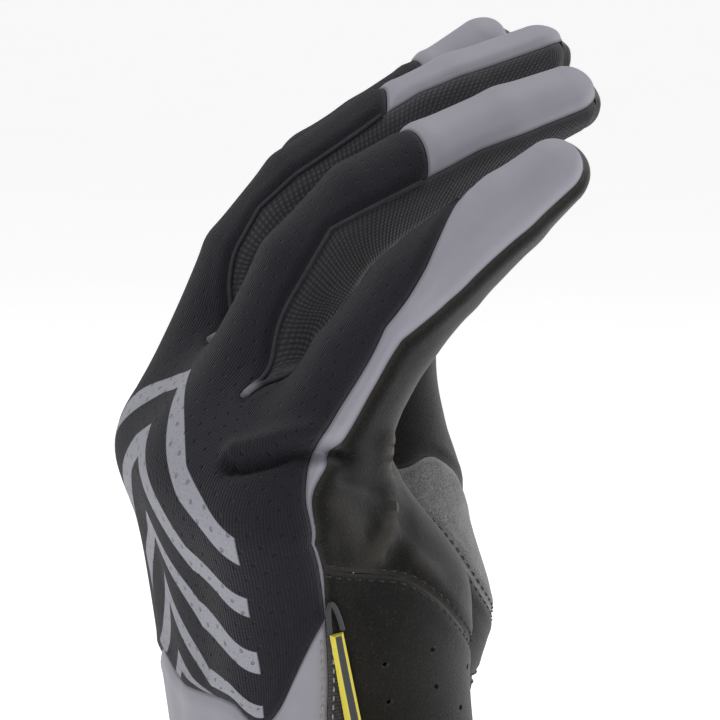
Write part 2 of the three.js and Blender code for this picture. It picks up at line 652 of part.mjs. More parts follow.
// Grey cover over the end of a finger.
function fingerCover(k) {
  const finger = fingers[k];
  const sheets = [];
  const endRow = (u) => {
    const high = k === 3 ? stripAngle("seam", finger.end) : edgeAngle(k, 1, finger.end);
    return finger.probe(finger.end, mix(edgeAngle(k, -1, finger.end), high, u));
  };
  if (k < 3) {
    const past = (side, v) => mix(coverStart(k, side), finger.end, v);
    sheets.push(chart(fingerColumns, coverRows, (u, v) => {
      const place = mix(coverStart(k, 2 * u - 1), finger.end, v);
      return finger.probe(place, mix(edgeAngle(k, -1, past(-1, v)), edgeAngle(k, 1, past(1, v)), u));
    }));
  } else {
    const stripRows = rowsLow + fingerRows;
    sheets.push(chart(fingerColumns, stripRows + coverRows, (u, v) => {
      const row = v * (stripRows + coverRows);
      const seamPast = row <= rowsLow
        ? mix(sideStrip[0].past, slits[2].back, row / rowsLow)
        : mix(slits[2].back, finger.end, (row - rowsLow) / (fingerRows + coverRows));
      const seamAngle = stripAngle("seam", seamPast);
      if (row <= rowsLow) return between(backBorder(4, row / rowsLow), finger.probe(seamPast, seamAngle), u);
      const knit = mix(slits[2].back, coverStart(3, 1), clamp((row - rowsLow) / fingerRows));
      const beyond = clamp((row - stripRows) / coverRows);
      const angle = mix(stripAngle("knit", knit), edgeAngle(3, -1, finger.end), beyond);
      return finger.probe(mix(mix(knit, finger.end, beyond), seamPast, u), mix(angle, seamAngle, u));
    }));
  }
  sheets.push(chart(fingerColumns, tipRows, (u, v) => (v === 0 ? endRow(u) : coverTip(k, 2 * u - 1, v))));
  return thicken(sheets, capWall);
}

// Strip of twill from one fingertip down to the fork and up to the next fingertip.
function forkStrip(k) {
  const columns = 3;
  const tipShare = 0.78; // the strip ends before the point where cover and suede meet
  const sheets = [];
  for (const [finger, side] of [[k, 1], [k + 1, -1]]) {
    const atFork = (u, v) => {
      const ends = [slits[k].back, slits[k].palm];
      const relief = forkRelief * (1 - v);
      const [pastBack, pastPalm] = ends.map((slitEnd) => fingerPlace(finger, slitEnd, v) + relief);
      const back = v > 0 ? edgeProbe(finger, side, pastBack, "back") : midProbe(k, 1, pastBack, 1);
      const palm = v > 0 ? edgeProbe(finger, side, pastPalm, "palm") : midProbe(k, 1, pastPalm, -1);
      const past = mix(pastBack, pastPalm, u);
      const along = unit(add(fingers[k].frame(past).along, fingers[k + 1].frame(past).along));
      const out = fingers[finger].frame(past).side;
      const open = v > 0 ? ease((past - mix(slits[k].back, slits[k].palm, u)) / slitOpening) : 0;
      const middle = unit(blend(along, scale(out, side), open));
      const weights = [(1 - u) * (1 - 2 * u), 4 * u * (1 - u), u * (2 * u - 1)];
      const to = add(add(scale(unit(back.to), weights[0]), middle, weights[1]), unit(palm.to), weights[2]);
      return { from: blend(back.from, palm.from, u), to: unit(to) };
    };
    sheets.push(chart(columns, fingerRows + coverRows, atFork));
    const endRows = 3;
    sheets.push(chart(columns, endRows, (u, v) => {
      if (v === 0) return atFork(u, 1);
      const s = v * tipShare;
      const edge = turnTowards(coverTip(finger, side, s), palmTipSide(finger, side, s), u);
      return between(atFork(u, 1), edge, ease(v * endRows));
    }));
  }
  return thicken(sheets, twillWall);
}

const palmRows = 9; // rows of the palm below the slits
const thumbColumns = 12; // columns of the palm and the heel below the thumb
const palmTouchRow = 4; // where the border beside the index column meets the thumb's seam
const heelEnd = sideStrip[1].past; // the heel seam meets the edge of the hand here

// Borders between the palm's columns below the slits, counted from the thumb's side.
function palmBorder(border, s) {
  if (border === 4) {
    const past = mix(heelEnd, slits[2].palm, s);
    return fingers[3].probe(past, stripAngle("seam", past));
  }
  const heel = heelProbe(heelAngles[border]);
  if (border === 1) {
    const touch = palmTouchRow / palmRows;
    if (s <= touch) return between(heel, thumbSeamProbe(0), s / touch);
    const rest = (s - touch) / (1 - touch);
    const above = midProbe(0, 1, mix(-6, slits[0].palm, rest), -1);
    return between(thumbSeamProbe(0), above, ease(rest * 1.6));
  }
  const past = mix(-14, slits[border - 1].palm, s);
  return between(heel, midProbe(border - 1, 1, past, -1), ease(s / 0.5));
}

function heelTop(column, u) {
  const corner = fingers[3].probe(heelEnd, stripAngle("seam", heelEnd));
  const ring = heelProbe(mix(heelAngles[column], heelAngles[column + 1], u));
  return column === 3 ? between(ring, corner, ease((u - 0.4) / 0.6)) : ring;
}

// Front of a finger, from its slits to its tip.
function fingerFront(k) {
  const finger = fingers[k];
  const start = (side) => (hasNeighbour(k, side) ? slitOf(k, side).palm : slitOf(k, -side).palm);
  const left = (v) => edgeProbe(k, -1, fingerPlace(k, start(-1), v), "palm");
  const right = (v) => edgeProbe(k, 1, fingerPlace(k, start(1), v), "palm");
  const low = hasNeighbour(k, -1) ? -palmEdge : edgeAngle(k, -1, finger.end);
  const high = hasNeighbour(k, 1) ? palmEdge : stripAngle("seam", finger.end);
  const endRow = (u) => finger.probe(finger.end, mix(low + fullTurn, high, u));
  const bottom = (u) => palmRow(k, u);
  const front = sheet(fingerColumns, fingerRows + coverRows, { bottom, top: endRow, left, right });
  const tip = chart(fingerColumns, tipRows + 1, (u, v) => {
    if (u === 0) return palmTipSide(k, -1, v);
    if (u === 1) return palmTipSide(k, 1, v);
    return turnTowards(endRow(u), coverTip(k, 2 * u - 1, 1), v);
  });
  return [front, tip];
}

// The row of the palm at the height of the slits, where a finger's front starts.
const palmRow = (k, u) => between(
  k === 0 ? edgeProbe(0, -1, slits[0].palm, "palm") : palmBorder(k, 1),
  palmBorder(k + 1, 1),
  u,
);

// Suede over the palm and the fronts of the fingers, with an opening where the thumb is set in.
function palmPanel() {
  const sheets = [];
  for (let k = 1; k < 4; k += 1) {
    sheets.push(sheet(fingerColumns, palmRows, {
      bottom: (u) => heelTop(k, u),
      top: (u) => palmRow(k, u),
      left: (v) => palmBorder(k, v),
      right: (v) => palmBorder(k + 1, v),
    }));
  }
  const touch = palmTouchRow / palmRows;
  sheets.push(sheet(thumbColumns, palmTouchRow, {
    bottom: (u) => heelTop(0, u),
    top: (u) => thumbSeamProbe(mix(touchSeam[0], 0, u)),
    left: (v) => thumbSideEdge(mix(0, touchRows[0], v)),
    right: (v) => palmBorder(1, v * touch),
  }));
  sheets.push(sheet(fingerColumns, palmRows - palmTouchRow, {
    bottom: (u) => thumbSeamProbe(mix(touchSeam[1], thumbSeam.length, u)),
    top: (u) => palmRow(0, u),
    left: (v) => (v < 0.999 ? thumbSideEdge(mix(touchRows[1], rowsLow, v)) : palmRow(0, 0)),
    right: (v) => palmBorder(1, mix(touch, 1, v)),
  }));
  for (let k = 0; k < 4; k += 1) sheets.push(...fingerFront(k));
  return thicken(sheets, suedeWall);
}

// Thumb. Its columns share their places with the panels that meet it at its seam, by the seam's rows.
const thumbPlaces = {
  front: [7, 7.75, 8.5, 9.25, 10, 10.5, 11, 11.5, 12, 12.5, 13, 13.5, 14],
  back: [4, 4.5, 5, 5.5, 6, 6 + 1 / 3, 6 + 2 / 3, 7],
};
const thumbRows = { patch: 4, front: 5, back: 9, tip: 3 };

function thumbRing(turn, height) {
  const joints = thumbJoints.map((joint) => joint.at);
  let k = 1;
  while (k < joints.length - 2 && height > joints[k + 1][2]) k += 1;
  const s = (height - joints[k][2]) / (joints[k + 1][2] - joints[k][2]);
  const around = radians(turn);
  return { from: blend(joints[k], joints[k + 1], s), to: [Math.sin(around), Math.cos(around), 0] };
}

// The rounded end as a disc: the back's cloth ends at a straight seam across it, the front's covers the rest.
function thumbTip(places, s, shareInside) {
  const top = thumbJoints[3].at;
  const turns = [places[0], places[places.length - 1]].map((row) => radians(thumbSeamAngle(row)));
  const turn = radians(thumbSeamAngle(readPlace(places, s)));
  const rim = [Math.sin(turn), Math.cos(turn)];
  const ends = turns.map((angle) => [Math.sin(angle), Math.cos(angle)]);
  const chord = ends[0].map((x, i) => mix(x, ends[1][i], s));
  const x = mix(rim[0], chord[0], shareInside);
  const y = mix(rim[1], chord[1], shareInside);
  const tilt = (Math.PI / 2) * Math.hypot(x, y) + 1e-6;
  const flat = scale([x, y, 0], Math.sin(tilt) / (Math.hypot(x, y) + 1e-6));
  return { from: top, to: unit(add(flat, [0, 0, 1], Math.cos(tilt))) };
}

function readPlace(places, s) {
  const at = s * (places.length - 1);
  const k = Math.min(places.length - 2, Math.floor(at));
  return mix(places[k], places[k + 1], at - k);
}

// A column of the thumb's cloth runs from its root seam up to a ring at its last joint.
const thumbTop = thumbJoints[3].at[2];
const rootHeight = (row) => surfacePoint(thumbSeamProbe(row))[2];
function thumbProbe(row, height) {
  const turn = thumbSeamAngle(row);
  const turnOver = 20; // the columns turn into rings over this height above the seam
  return between(thumbSeamProbe(row), thumbRing(turn, height), ease((height - rootHeight(row)) / turnOver));
}

const patchTop = (row) => {
  const turn = thumbSeamAngle(row);
  const seenTurn = turn < thumbPatchTop[0].around ? turn + fullTurn : turn;
  return readTable(thumbPatchTop, "around", "height", seenTurn);
};

function thumbSheet(places, rows, low, high) {
  return chart(places.length - 1, rows, (u, v) => {
    const row = readPlace(places, u);
    return thumbProbe(row, mix(low(row), high(row), v));
  });
}
const thumbEnd = (places) => chart(places.length - 1, thumbRows.tip, (u, v) => thumbTip(places, u, v));

function thumbPatch() {
  return thicken([thumbSheet(thumbPlaces.front, thumbRows.patch, rootHeight, patchTop)], suedeWall);
}
function thumbFront() {
  const front = thumbSheet(thumbPlaces.front, thumbRows.front, patchTop, () => thumbTop);
  return thicken([front, thumbEnd(thumbPlaces.front)], suedeWall);
}
function thumbBack() {
  const back = thumbSheet(thumbPlaces.back, thumbRows.back, rootHeight, () => thumbTop);
  return thicken([back, thumbEnd(thumbPlaces.back)], capWall);
}

// Lower hand. The gusset is a wedge of stretch cloth at the little finger's edge of the wrist.
const gussetProbe = (side, height) => ringProbe(readTable(gusset, "height", side, height), height);
const edgeRing = (around, low, high) => (v) => ringProbe(around, mix(low, high, v));
const apex = yokeSeam[0].height;
const yokeColumns = [5, 4, 4, 5]; // as many as the back panel has in each finger's column
const yokeSteps = yokeColumns.reduce((sum, n) => sum + n, 0);
const lowerRows = 8; // rows of the yoke and of the heel panel

// The whole yoke seam, sampled as the back panel's columns are.
function yokeLine(u) {
  let rest = u * yokeSteps;
  let k = 0;
  while (k < 3 && rest > yokeColumns[k]) {
    rest -= yokeColumns[k];
    k += 1;
  }
  return yokeProbe(mix(yokeAngles[k], yokeAngles[k + 1], rest / yokeColumns[k]));
}

function yoke() {
  return thicken([sheet(yokeSteps, lowerRows, {
    bottom: (u) => ringProbe(mix(yokeAngles[0], gusset[0].backSide, u), bandTop),
    top: yokeLine,
    left: edgeRing(yokeAngles[0], bandTop, yokeSeam[yokeSeam.length - 1].height),
    right: (v) => gussetProbe("backSide", mix(bandTop, apex, v)),
  })], capWall);
}

function wristGusset() {
  const [columns, rows] = [2, 10];
  return thicken([chart(columns, rows, (u, v) => {
    const height = mix(bandTop, apex, v);
    return between(gussetProbe("palmSide", height), gussetProbe("backSide", height), u);
  })], twillWall);
}

// Side edge of the heel panel, from the band along the gusset and the grey strip to the heel seam.
function heelSide(v) {
  const height = mix(bandTop, heelSeam[heelSeam.length - 1].height, v);
  const strip = sideStrip[0];
  const rise = (height - apex) / (heelSeam[heelSeam.length - 1].height - apex);
  const past = mix(strip.past, heelEnd, clamp(rise));
  const above = fingers[3].probe(past, stripAngle("seam", past));
  const turnBelow = 6; // the edge leaves the gusset over this height below its point
  const turned = ease((height - apex + turnBelow) / turnBelow);
  return between(gussetProbe("palmSide", Math.min(height, apex)), above, turned);
}

// Vent holes through the heel panel, in staggered rows.
function ventHoles() {
  const drill = new THREE.CylinderGeometry(ventHole.diameter / 2, ventHole.diameter / 2, 6, 6);
  drill.rotateX(Math.PI / 2);
  const degreesPerMillimetre = 1.44;
  const holes = [];
  for (let r = 0; r < ventHole.rows; r += 1) {
    for (let c = 0; c < ventHole.columns; c += 1) {
      const across = (c + ventHole.shift * (r % 2)) * ventHole.pitch;
      const height = firstVent.height - r * ventHole.rowHeight + c * ventHole.rise;
      const centre = surfacePoint(ringProbe(firstVent.around - across * degreesPerMillimetre, height));
      const hole = drill.clone();
      hole.lookAt(new THREE.Vector3(...outward(centre)));
      hole.translate(...centre);
      holes.push(solid(hole));
    }
  }
  return holes;
}

function solid(geometry) {
  const bare = geometry.clone();
  bare.deleteAttribute("normal");
  bare.deleteAttribute("uv");
  const merged = mergeVertices(bare, 1e-4);
  return new wasm.Manifold(new wasm.Mesh({
    numProp: 3,
    vertProperties: new Float32Array(merged.attributes.position.array),
    triVerts: new Uint32Array(merged.index.array),
  }));
}

function toGeometry(body) {
  const { vertProperties, triVerts } = body.getMesh();
  const geometry = new THREE.BufferGeometry();
  geometry.setAttribute("position", new THREE.Float32BufferAttribute(vertProperties, 3));
  geometry.setIndex(Array.from(triVerts));
  return geometry;
}

const heelColumns = thumbColumns + 3 * fingerColumns;

// The whole heel seam, sampled as the palm's columns are.
function heelLine(u) {
  const beyond = u * heelColumns - thumbColumns;
  if (beyond <= 0) return heelTop(0, 1 + beyond / thumbColumns);
  const column = Math.min(2, Math.floor(beyond / fingerColumns));
  return heelTop(1 + column, beyond / fingerColumns - column);
}

function heelPanel() {
  const cloth = thicken([sheet(heelColumns, lowerRows, {
    bottom: (u) => ringProbe(mix(heelAngles[0], gusset[0].palmSide, u), bandTop),
    top: heelLine,
    left: edgeRing(heelAngles[0], bandTop, heelSeam[0].height),
    right: heelSide,
  })], suedeWall);
  return toGeometry(ventHoles().reduce((rest, hole) => rest.subtract(hole), solid(cloth)));
}

// Elastic band and the rolled binding at the mouth, both closed rings.
function ring(low, high, rows, wall, proud) {
  const columns = 30;
  const around = (u, v) => ringProbe(fullTurn * u, mix(low, high, v));
  return thicken([chart(columns, rows, around)], wall, proud);
}

// Folded pull tab, which stands on its edge along the gusset's palm side, and the cord loop above it.
function tabRoot(height) {
  const y = tabLine.y + (tab.top - height) * tabLine.slant;
  const root = surfacePoint({ from: [tabLine.from, y, height], to: [1, 0, 0] });
  return { root, out: outward(root) };
}

function pullTab() {
  const steps = 12;
  const points = [];
  for (let k = 0; k <= steps; k += 1) {
    const height = tab.top - (tab.length * k) / steps;
    const { root, out } = tabRoot(height);
    const next = tabRoot(height - 1).root;
    const along = unit(add(next, root, -1));
    const across = unit(cross(out, along));
    const stand = tab.proud * mix(tabGrowth.proudAtTop, 1, ease(k / steps / tabGrowth.over));
    const widen = mix(tabGrowth.widthAtTop, tabGrowth.widthAtEnd, k / steps);
    for (const [side, up] of [[-1, 0], [1, 0], [1, 1], [-1, 1]]) {
      const half = ((up ? tab.outerEdge : tab.root) * widen) / 2;
      points.push(add(add(root, out, tab.clearance + up * stand), across, side * half));
    }
  }
  const faces = [[0, 2, 1], [0, 3, 2]];
  for (let k = 0; k < steps; k += 1) {
    for (let j = 0; j < 4; j += 1) {
      const [a, b] = [4 * k + j, 4 * k + ((j + 1) % 4)];
      faces.push([a, b, a + 4], [b, b + 4, a + 4]);
    }
  }
  const last = 4 * steps;
  faces.push([last, last + 1, last + 2], [last, last + 2, last + 3]);
  const geometry = new THREE.BufferGeometry();
  geometry.setAttribute("position", new THREE.Float32BufferAttribute(points.flat(), 3));
  geometry.setIndex(faces.flat());
  return geometry;
}

function tabLoopCord() {
  const { root, out } = tabRoot(tab.top + 0.6);
  const up = unit(add(tabRoot(tab.top + 5).root, root, -1));
  const across = unit(cross(out, up));
  const lift = tab.clearance + tabLoop.cord / 2 + 0.25;
  const bend = [];
  const steps = 8;
  for (let k = 0; k <= steps; k += 1) {
    const turn = Math.PI * (k / steps);
    const foot = add(root, across, -tabLoop.halfWidth * Math.cos(turn));
    const p = add(foot, up, tabLoop.height * Math.sin(turn) ** 1.3);
    bend.push(new THREE.Vector3(...add(p, out, lift)));
  }
  const circle = new THREE.Shape().absarc(0, 0, tabLoop.cord / 2, 0, Math.PI * 2);
  return new THREE.ExtrudeGeometry(circle, {
    steps: 9, curveSegments: 3, bevelEnabled: false, extrudePath: new THREE.CatmullRomCurve3(bend),
  });
}

const group = new THREE.Group();
const looks = {
  knit: { color: 0x2a2a30, roughness: 0.85 },
  cover: { color: 0x87868e, roughness: 0.6 },
  twill: { color: 0x35353a, roughness: 0.9 },
  suede: { color: 0x2d2c2a, roughness: 0.95 },
  thumbSuede: { color: 0x505052, roughness: 0.95 },
  band: { color: 0x26262a, roughness: 0.85 },
  tab: { color: 0xf0e15a, roughness: 0.5 },
};

function addPiece(name, geometry, look) {
  geometry.computeVertexNormals();
  const mesh = new THREE.Mesh(geometry, new THREE.MeshStandardMaterial({ ...looks[look], metalness: 0 }));
  mesh.name = name;
  group.add(mesh);
}

addPiece("back_panel", backPanel(), "knit");
fingerSizes.forEach(({ name }, k) => addPiece(`${name}_cover`, fingerCover(k), "cover"));
["index_middle", "middle_ring", "ring_pinky"].forEach((name, k) => {
  addPiece(`${name}_fork`, forkStrip(k), "twill");
});
addPiece("palm_panel", palmPanel(), "suede");
addPiece("heel_panel", heelPanel(), "suede");
addPiece("thumb_patch", thumbPatch(), "thumbSuede");
addPiece("thumb_front", thumbFront(), "suede");
addPiece("thumb_back", thumbBack(), "cover");
addPiece("yoke", yoke(), "cover");
addPiece("wrist_gusset", wristGusset(), "twill");
addPiece("cuff_band", ring(bindingHeight + seamGap / 2, bandTop, 4, bandWall, 0), "band");
addPiece("cuff_binding", ring(0.4, bindingHeight, 1, bandWall + bindingRoll, bindingProud), "twill");
addPiece("pull_tab", pullTab(), "tab");
addPiece("tab_loop", tabLoopCord(), "twill");

export default group;
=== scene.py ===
"""Looks of a right-hand work glove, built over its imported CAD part. Lengths are in millimetres
until a mesh is made, in the frame of the CAD: +X to the little finger's side, +Y out of the palm, +Z up."""

import math

import bpy
import numpy as np
from mathutils import Matrix


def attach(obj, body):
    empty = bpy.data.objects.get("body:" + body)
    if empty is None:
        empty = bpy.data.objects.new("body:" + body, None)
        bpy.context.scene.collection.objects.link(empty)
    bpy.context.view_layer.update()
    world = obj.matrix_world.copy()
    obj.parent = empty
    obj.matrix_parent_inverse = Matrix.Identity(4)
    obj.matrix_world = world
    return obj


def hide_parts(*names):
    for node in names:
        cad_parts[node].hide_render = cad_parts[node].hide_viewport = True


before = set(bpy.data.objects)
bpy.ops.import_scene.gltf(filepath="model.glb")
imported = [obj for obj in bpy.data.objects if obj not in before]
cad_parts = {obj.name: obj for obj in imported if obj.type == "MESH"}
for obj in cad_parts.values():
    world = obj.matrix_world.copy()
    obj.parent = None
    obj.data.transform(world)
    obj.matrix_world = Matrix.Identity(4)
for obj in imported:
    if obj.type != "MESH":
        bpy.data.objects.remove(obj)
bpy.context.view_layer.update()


# Back panel. Thin stretch knit over the back of the hand and the fingers, cut in one piece with slits
# between the fingers. Its fine ribs run towards the fingertips, with small staggered holes knitted in.
# Like every panel it is shaped on the hand inside the glove, cut at its seams, and rolled into them.

def unit(v):
    """Vectors divided by their lengths."""
    return v / np.linalg.norm(v, axis=-1, keepdims=True)


def mix(a, b, s):
    """a + (b - a) s: from a at s = 0 to b at s = 1."""
    return a + (b - a) * s


def blend(a, b, s):
    """The same between vectors, with one s for each."""
    return a + (b - a) * np.asarray(s, float)[..., None]


def ease(x):
    """Smooth step: x x (3 - 2 x), with x held between 0 and 1."""
    x = np.clip(x, 0, 1)
    return x * x * (3 - 2 * x)


def times(s, v):
    """Vectors v scaled by numbers s."""
    return np.asarray(s, float)[..., None] * v


# The form of the hand is a smooth union of flattened, tapered rods, one for each bone, with webs between
# them. Nothing of it shows.

def rod(start, end, side):
    """Distance to a tapered rod. start and end hold a place, a half width and a half thickness.
    With the offset (past, y, z) from the rod's axis, it is |offset| (1 - 1 / r), where r is
    |(y / width, z / thickness, past / the lesser of the two)|."""
    (a, wide_a, thick_a), (b, wide_b, thick_b) = start, end
    a, span = np.array(a, float), np.linalg.norm(np.subtract(b, a))
    axis = np.subtract(b, a) / span
    across = unit(side - axis * np.dot(side, axis))
    turn = np.stack([axis, across, np.cross(axis, across)], 1)

    def distance(p):
        x, y, z = ((p - a) @ turn).T
        s = np.clip(x / span, 0, 1)
        past = x - s * span
        width, depth = mix(wide_a, wide_b, s), mix(thick_a, thick_b, s)
        r = np.sqrt((y / width) ** 2 + (z / depth) ** 2 + (past / np.minimum(width, depth)) ** 2)
        return np.sqrt(past * past + y * y + z * z) * (1 - 1 / (r + 1e-9))

    return distance


def union(distances, fillet):
    """Smooth minimum: least - fillet log(sum of exp((least - d) / fillet))."""
    least = np.minimum.reduce(distances)
    return least - fillet * np.log(sum(np.exp((least - d) / fillet) for d in distances))


bend_reach = 8  # a finger bends in two steps, this far on either side of each joint
turn_reach = 10  # the frame that travels along a finger turns over this length on either side


class Finger:
    """Bones of a finger, and the frame that travels along them. past is the way beyond the knuckle."""

    def __init__(self, knuckle, wrist_x, lean, bones, bend, thick, wide, roll):
        lean = math.radians(lean)
        self.lean = np.array([math.sin(lean), 0, math.cos(lean)])
        self.across = np.array([math.cos(lean), 0, -math.sin(lean)])
        self.points = [np.array([wrist_x, -2, 46.0]), np.array(knuckle, float)]
        hand = self.points[1] - self.points[0]
        self.bends = [math.atan2(hand[1], hand[2])] + [math.radians(b) for b in bend]
        self.stations = [-np.linalg.norm(hand), 0]
        for bone, turn in zip(bones, self.bends[1:]):
            step = self.lean * math.cos(turn) + np.array([0, math.sin(turn), 0])
            self.points.append(self.points[-1] + step * bone)
            self.stations.append(self.stations[-1] + bone)
        self.end = self.stations[-1]
        self.thick, self.wide, self.roll = thick, wide, [math.radians(r) for r in roll]

    def spine(self, past):
        """Point on the straight bone that past falls on."""
        past, stops, points = np.asarray(past, float), np.array(self.stations), np.array(self.points)
        k = np.searchsorted(stops[1:-1], past)
        return blend(points[k], points[k + 1], (past - stops[k]) / (stops[k + 1] - stops[k]))

    def frame(self, past):
        """Directions along, back and side. Each joint turns them smoothly."""
        past = np.asarray(past, float)
        turns = zip(self.bends, self.bends[1:], self.stations[1:])
        bend = self.bends[0] + sum((after - before) * ease((past - stop + turn_reach) / (2 * turn_reach))
                                   for before, after, stop in turns)
        y = np.array([0, 1.0, 0])
        along = times(np.cos(bend), self.lean) + times(np.sin(bend), y)
        back = times(np.sin(bend), self.lean) - times(np.cos(bend), y)
        roll = mix(*self.roll, np.clip(past / self.end, 0, 1)) * np.clip(1 + past / 60, 0, 1)
        return (along, times(np.cos(roll), back) + times(np.sin(roll), self.across),
                times(np.cos(roll), self.across) - times(np.sin(roll), back))

    def rods(self):
        """Rods beyond the knuckle. The finger bends in two steps at each joint."""
        _, start, first, second, end = self.stations
        stops = np.array([start, first - bend_reach, first + bend_reach,
                          second - bend_reach, second + bend_reach, end])
        wide, thick = (np.interp(stops, self.stations[1:], sizes) for sizes in (self.wide, self.thick))
        sizes = list(zip(self.spine(stops), wide, thick))
        sides = [self.frame((a + b) / 2)[2] for a, b in zip(stops, stops[1:])]
        return [rod(a, b, side) for a, b, side in zip(sizes, sizes[1:], sides)]


fingers = [  # knuckle, x at the wrist, lean, bones, bends, half thicknesses, half widths and roll
    Finger([-29, -16.5, 128], -14, -2.5, [48, 27.6, 19.6], [24, 54.8, 52.3],
           [10.2, 9.8, 7.7, 5.6], [9.5, 8.8, 8.1, 6.8], [-10, 40]),
    Finger([-9.5, -19.5, 128], -5, -0.5, [43.3, 33.9, 24.4], [20.2, 52.4, 67.3],
           [12.8, 11, 7.9, 5.6], [9.7, 8.9, 8.2, 6.9], [-4, 14]),
    Finger([11, -20, 126.5], 4, 1.5, [46.3, 29.6, 20], [25, 59, 67],
           [10.8, 9.8, 8, 5.5], [9.5, 8.7, 8.0, 6.8], [6, 34]),
    Finger([30, -13, 119], 13, 5.5, [38.5, 21.5, 18.2], [26.3, 47.4, 50],
           [10.2, 9.8, 8.8, 6.1], [8.9, 8.3, 7.6, 6.3], [18, 38]),
]
thumb_joints = [([-18, 11, 62], 16, 18), ([-25, 22.5, 95], 14, 14.6), ([-27, 18, 128], 10.8, 10.4),
                ([-22, 19, 151], 10, 8.8)]
palm_fillet, hand_fillet, bone_fillet, slit_fillet = 3.6, 3, 0.35, 0.4
x_axis, y_axis, z_axis = np.eye(3)
hand_rods = [rod((f.points[0], 12, 15), (f.points[1], 12.3, 10.6), x_axis) for f in fingers]
hand_rods += [
    rod(([0, 0, -6], 36, 27.5), ([0, -1, 46], 31, 21.5), x_axis),  # cuff
    rod(([19, 9, 58], 15, 17), ([24, 5, 104], 13.5, 14), x_axis),  # heel of the palm
    rod(([24, 5, 104], 13.5, 14), ([23, -2, 121], 12, 11.5), x_axis),
    rod(([3, 5, 60], 14, 14), ([3, -2, 110], 14, 11), x_axis),  # hollow of the palm
    rod(([2, 8, 62], 14, 15), ([-3, 8.5, 104], 13, 13.5), x_axis),
    rod(([-26, 8, 92], 9, 8), ([-27, 3, 111], 8, 6), y_axis),  # web of the thumb
]
for near, far in zip(fingers, fingers[1:]):  # web and ledge between two fingers
    _, back, side = near.frame(12)
    root, edge = (near.points[1] + far.points[1]) / 2, (near.spine(18) + far.spine(18)) / 2
    hand_rods.append(rod((root - 2 * back, 9, 9.5), (edge - 4.5 * back, 8, 6), side))
    ledge = (near.spine(14) + far.spine(14)) / 2
    hand_rods.append(rod((root + 3 * back, 8, 6), (ledge + 2.6 * back, 7, 5), side))
thumb_across = np.array([1, 0.2, 0])
thumb_rods = [rod(a, b, thumb_across) for a, b in zip(thumb_joints, thumb_joints[1:])]
thumb_rods.append(rod(([-25, 21.5, 100], 12, 13.4), ([-26, 20.5, 118], 10.5, 12.2), thumb_across))
finger_rods = [f.rods() for f in fingers]
cache_block = 8192  # points worked out at a time, which fit the processor's cache


def form(points):
    """Distance from the form, less than 0 inside: smooth unions of the hand with each finger's rods."""
    flat = points.reshape(-1, 3)
    found = np.empty(len(flat))
    for at in range(0, len(flat), cache_block):
        p = flat[at:at + cache_block]
        palm = union([r(p) for r in hand_rods], palm_fillet)
        thumb = union([r(p) for r in thumb_rods], hand_fillet)
        hand = union([palm, thumb], hand_fillet)
        grown = [union([hand, union([r(p) for r in rods], bone_fillet)], hand_fillet) for rods in finger_rods]
        found[at:at + cache_block] = union(grown, slit_fillet)
    return found.reshape(points.shape[:-1])


def leave_form(probes):
    """Where each probe leaves the form. A probe holds a start inside and a direction. All step outwards
    by 1 mm together, the ones still inside go on, and the last step is then halved 11 times."""
    start, out = probes[..., :3].reshape(-1, 3), unit(probes[..., 3:].reshape(-1, 3))
    inside = np.full(len(start), 0.5)
    outside = inside.copy()
    walking = np.arange(len(start))
    for _ in range(46):
        within = form(start[walking] + times(outside[walking], out[walking])) <= 0
        walking = walking[within]
        inside[walking] = outside[walking]
        outside[walking] += 1
        if not len(walking):
            break
    for _ in range(11):
        middle = (inside + outside) / 2
        beyond = form(start + times(middle, out)) > 0
        outside, inside = np.where(beyond, middle, outside), np.where(beyond, inside, middle)
    return (start + times((inside + outside) / 2, out)).reshape(probes.shape[:-1] + (3,))


def outward(points):
    """Unit slope of the form's distance, from its values at the corners of a small tetrahedron."""
    corners = np.array([[1, 1, 1], [1, -1, -1], [-1, 1, -1], [-1, -1, 1]]) * 0.2
    return unit(sum(times(form(points + corner), corner) for corner in corners))


# A panel is cut to the lines of its seams. A seam is a row of probes, and each probe starts in the middle
# of the hand and points out to where the seam lies on the form.

fineness = 7  # steps of a surface for each step of its CAD solid
wrist = 46  # height where the bones of the hand start


def probe(start, out):
    """A start and a unit direction, side by side in six numbers."""
    start, out = np.broadcast_arrays(start, out)
    return np.concatenate([start, unit(out)], -1)


def between(a, b, s):
    """The probe that is the share s of the way from a to b."""
    mixed = blend(a, b, s)
    return probe(mixed[..., :3], mixed[..., 3:])


def read_table(rows, at):
    """Curve through a table of places and values: a cubic in each gap, whose slope at a row is that of the
    chord between the rows beside it."""
    place, value = np.array(rows, float).T
    at = np.asarray(at, float)
    k = np.searchsorted(place[1:-1], at)
    before, after = np.maximum(k - 1, 0), np.minimum(k + 2, len(place) - 1)
    span = place[k + 1] - place[k]
    s = np.clip((at - place[k]) / span, 0, 1)
    slope_low = (value[k + 1] - value[before]) / (place[k + 1] - place[before])
    slope_high = (value[after] - value[k]) / (place[after] - place[k])
    return (mix(value[k], value[k + 1], s * s * (3 - 2 * s))
            + span * (s * (1 - s) ** 2 * slope_low - s * s * (1 - s) * slope_high))


def finger_probe(k, past, degrees):
    """From the bone of finger k, past its knuckle, at an angle from the middle of its back."""
    _, back, side = fingers[k].frame(past)
    turn = np.radians(degrees)
    return probe(fingers[k].spine(past), times(np.cos(turn), back) + times(np.sin(turn), side))


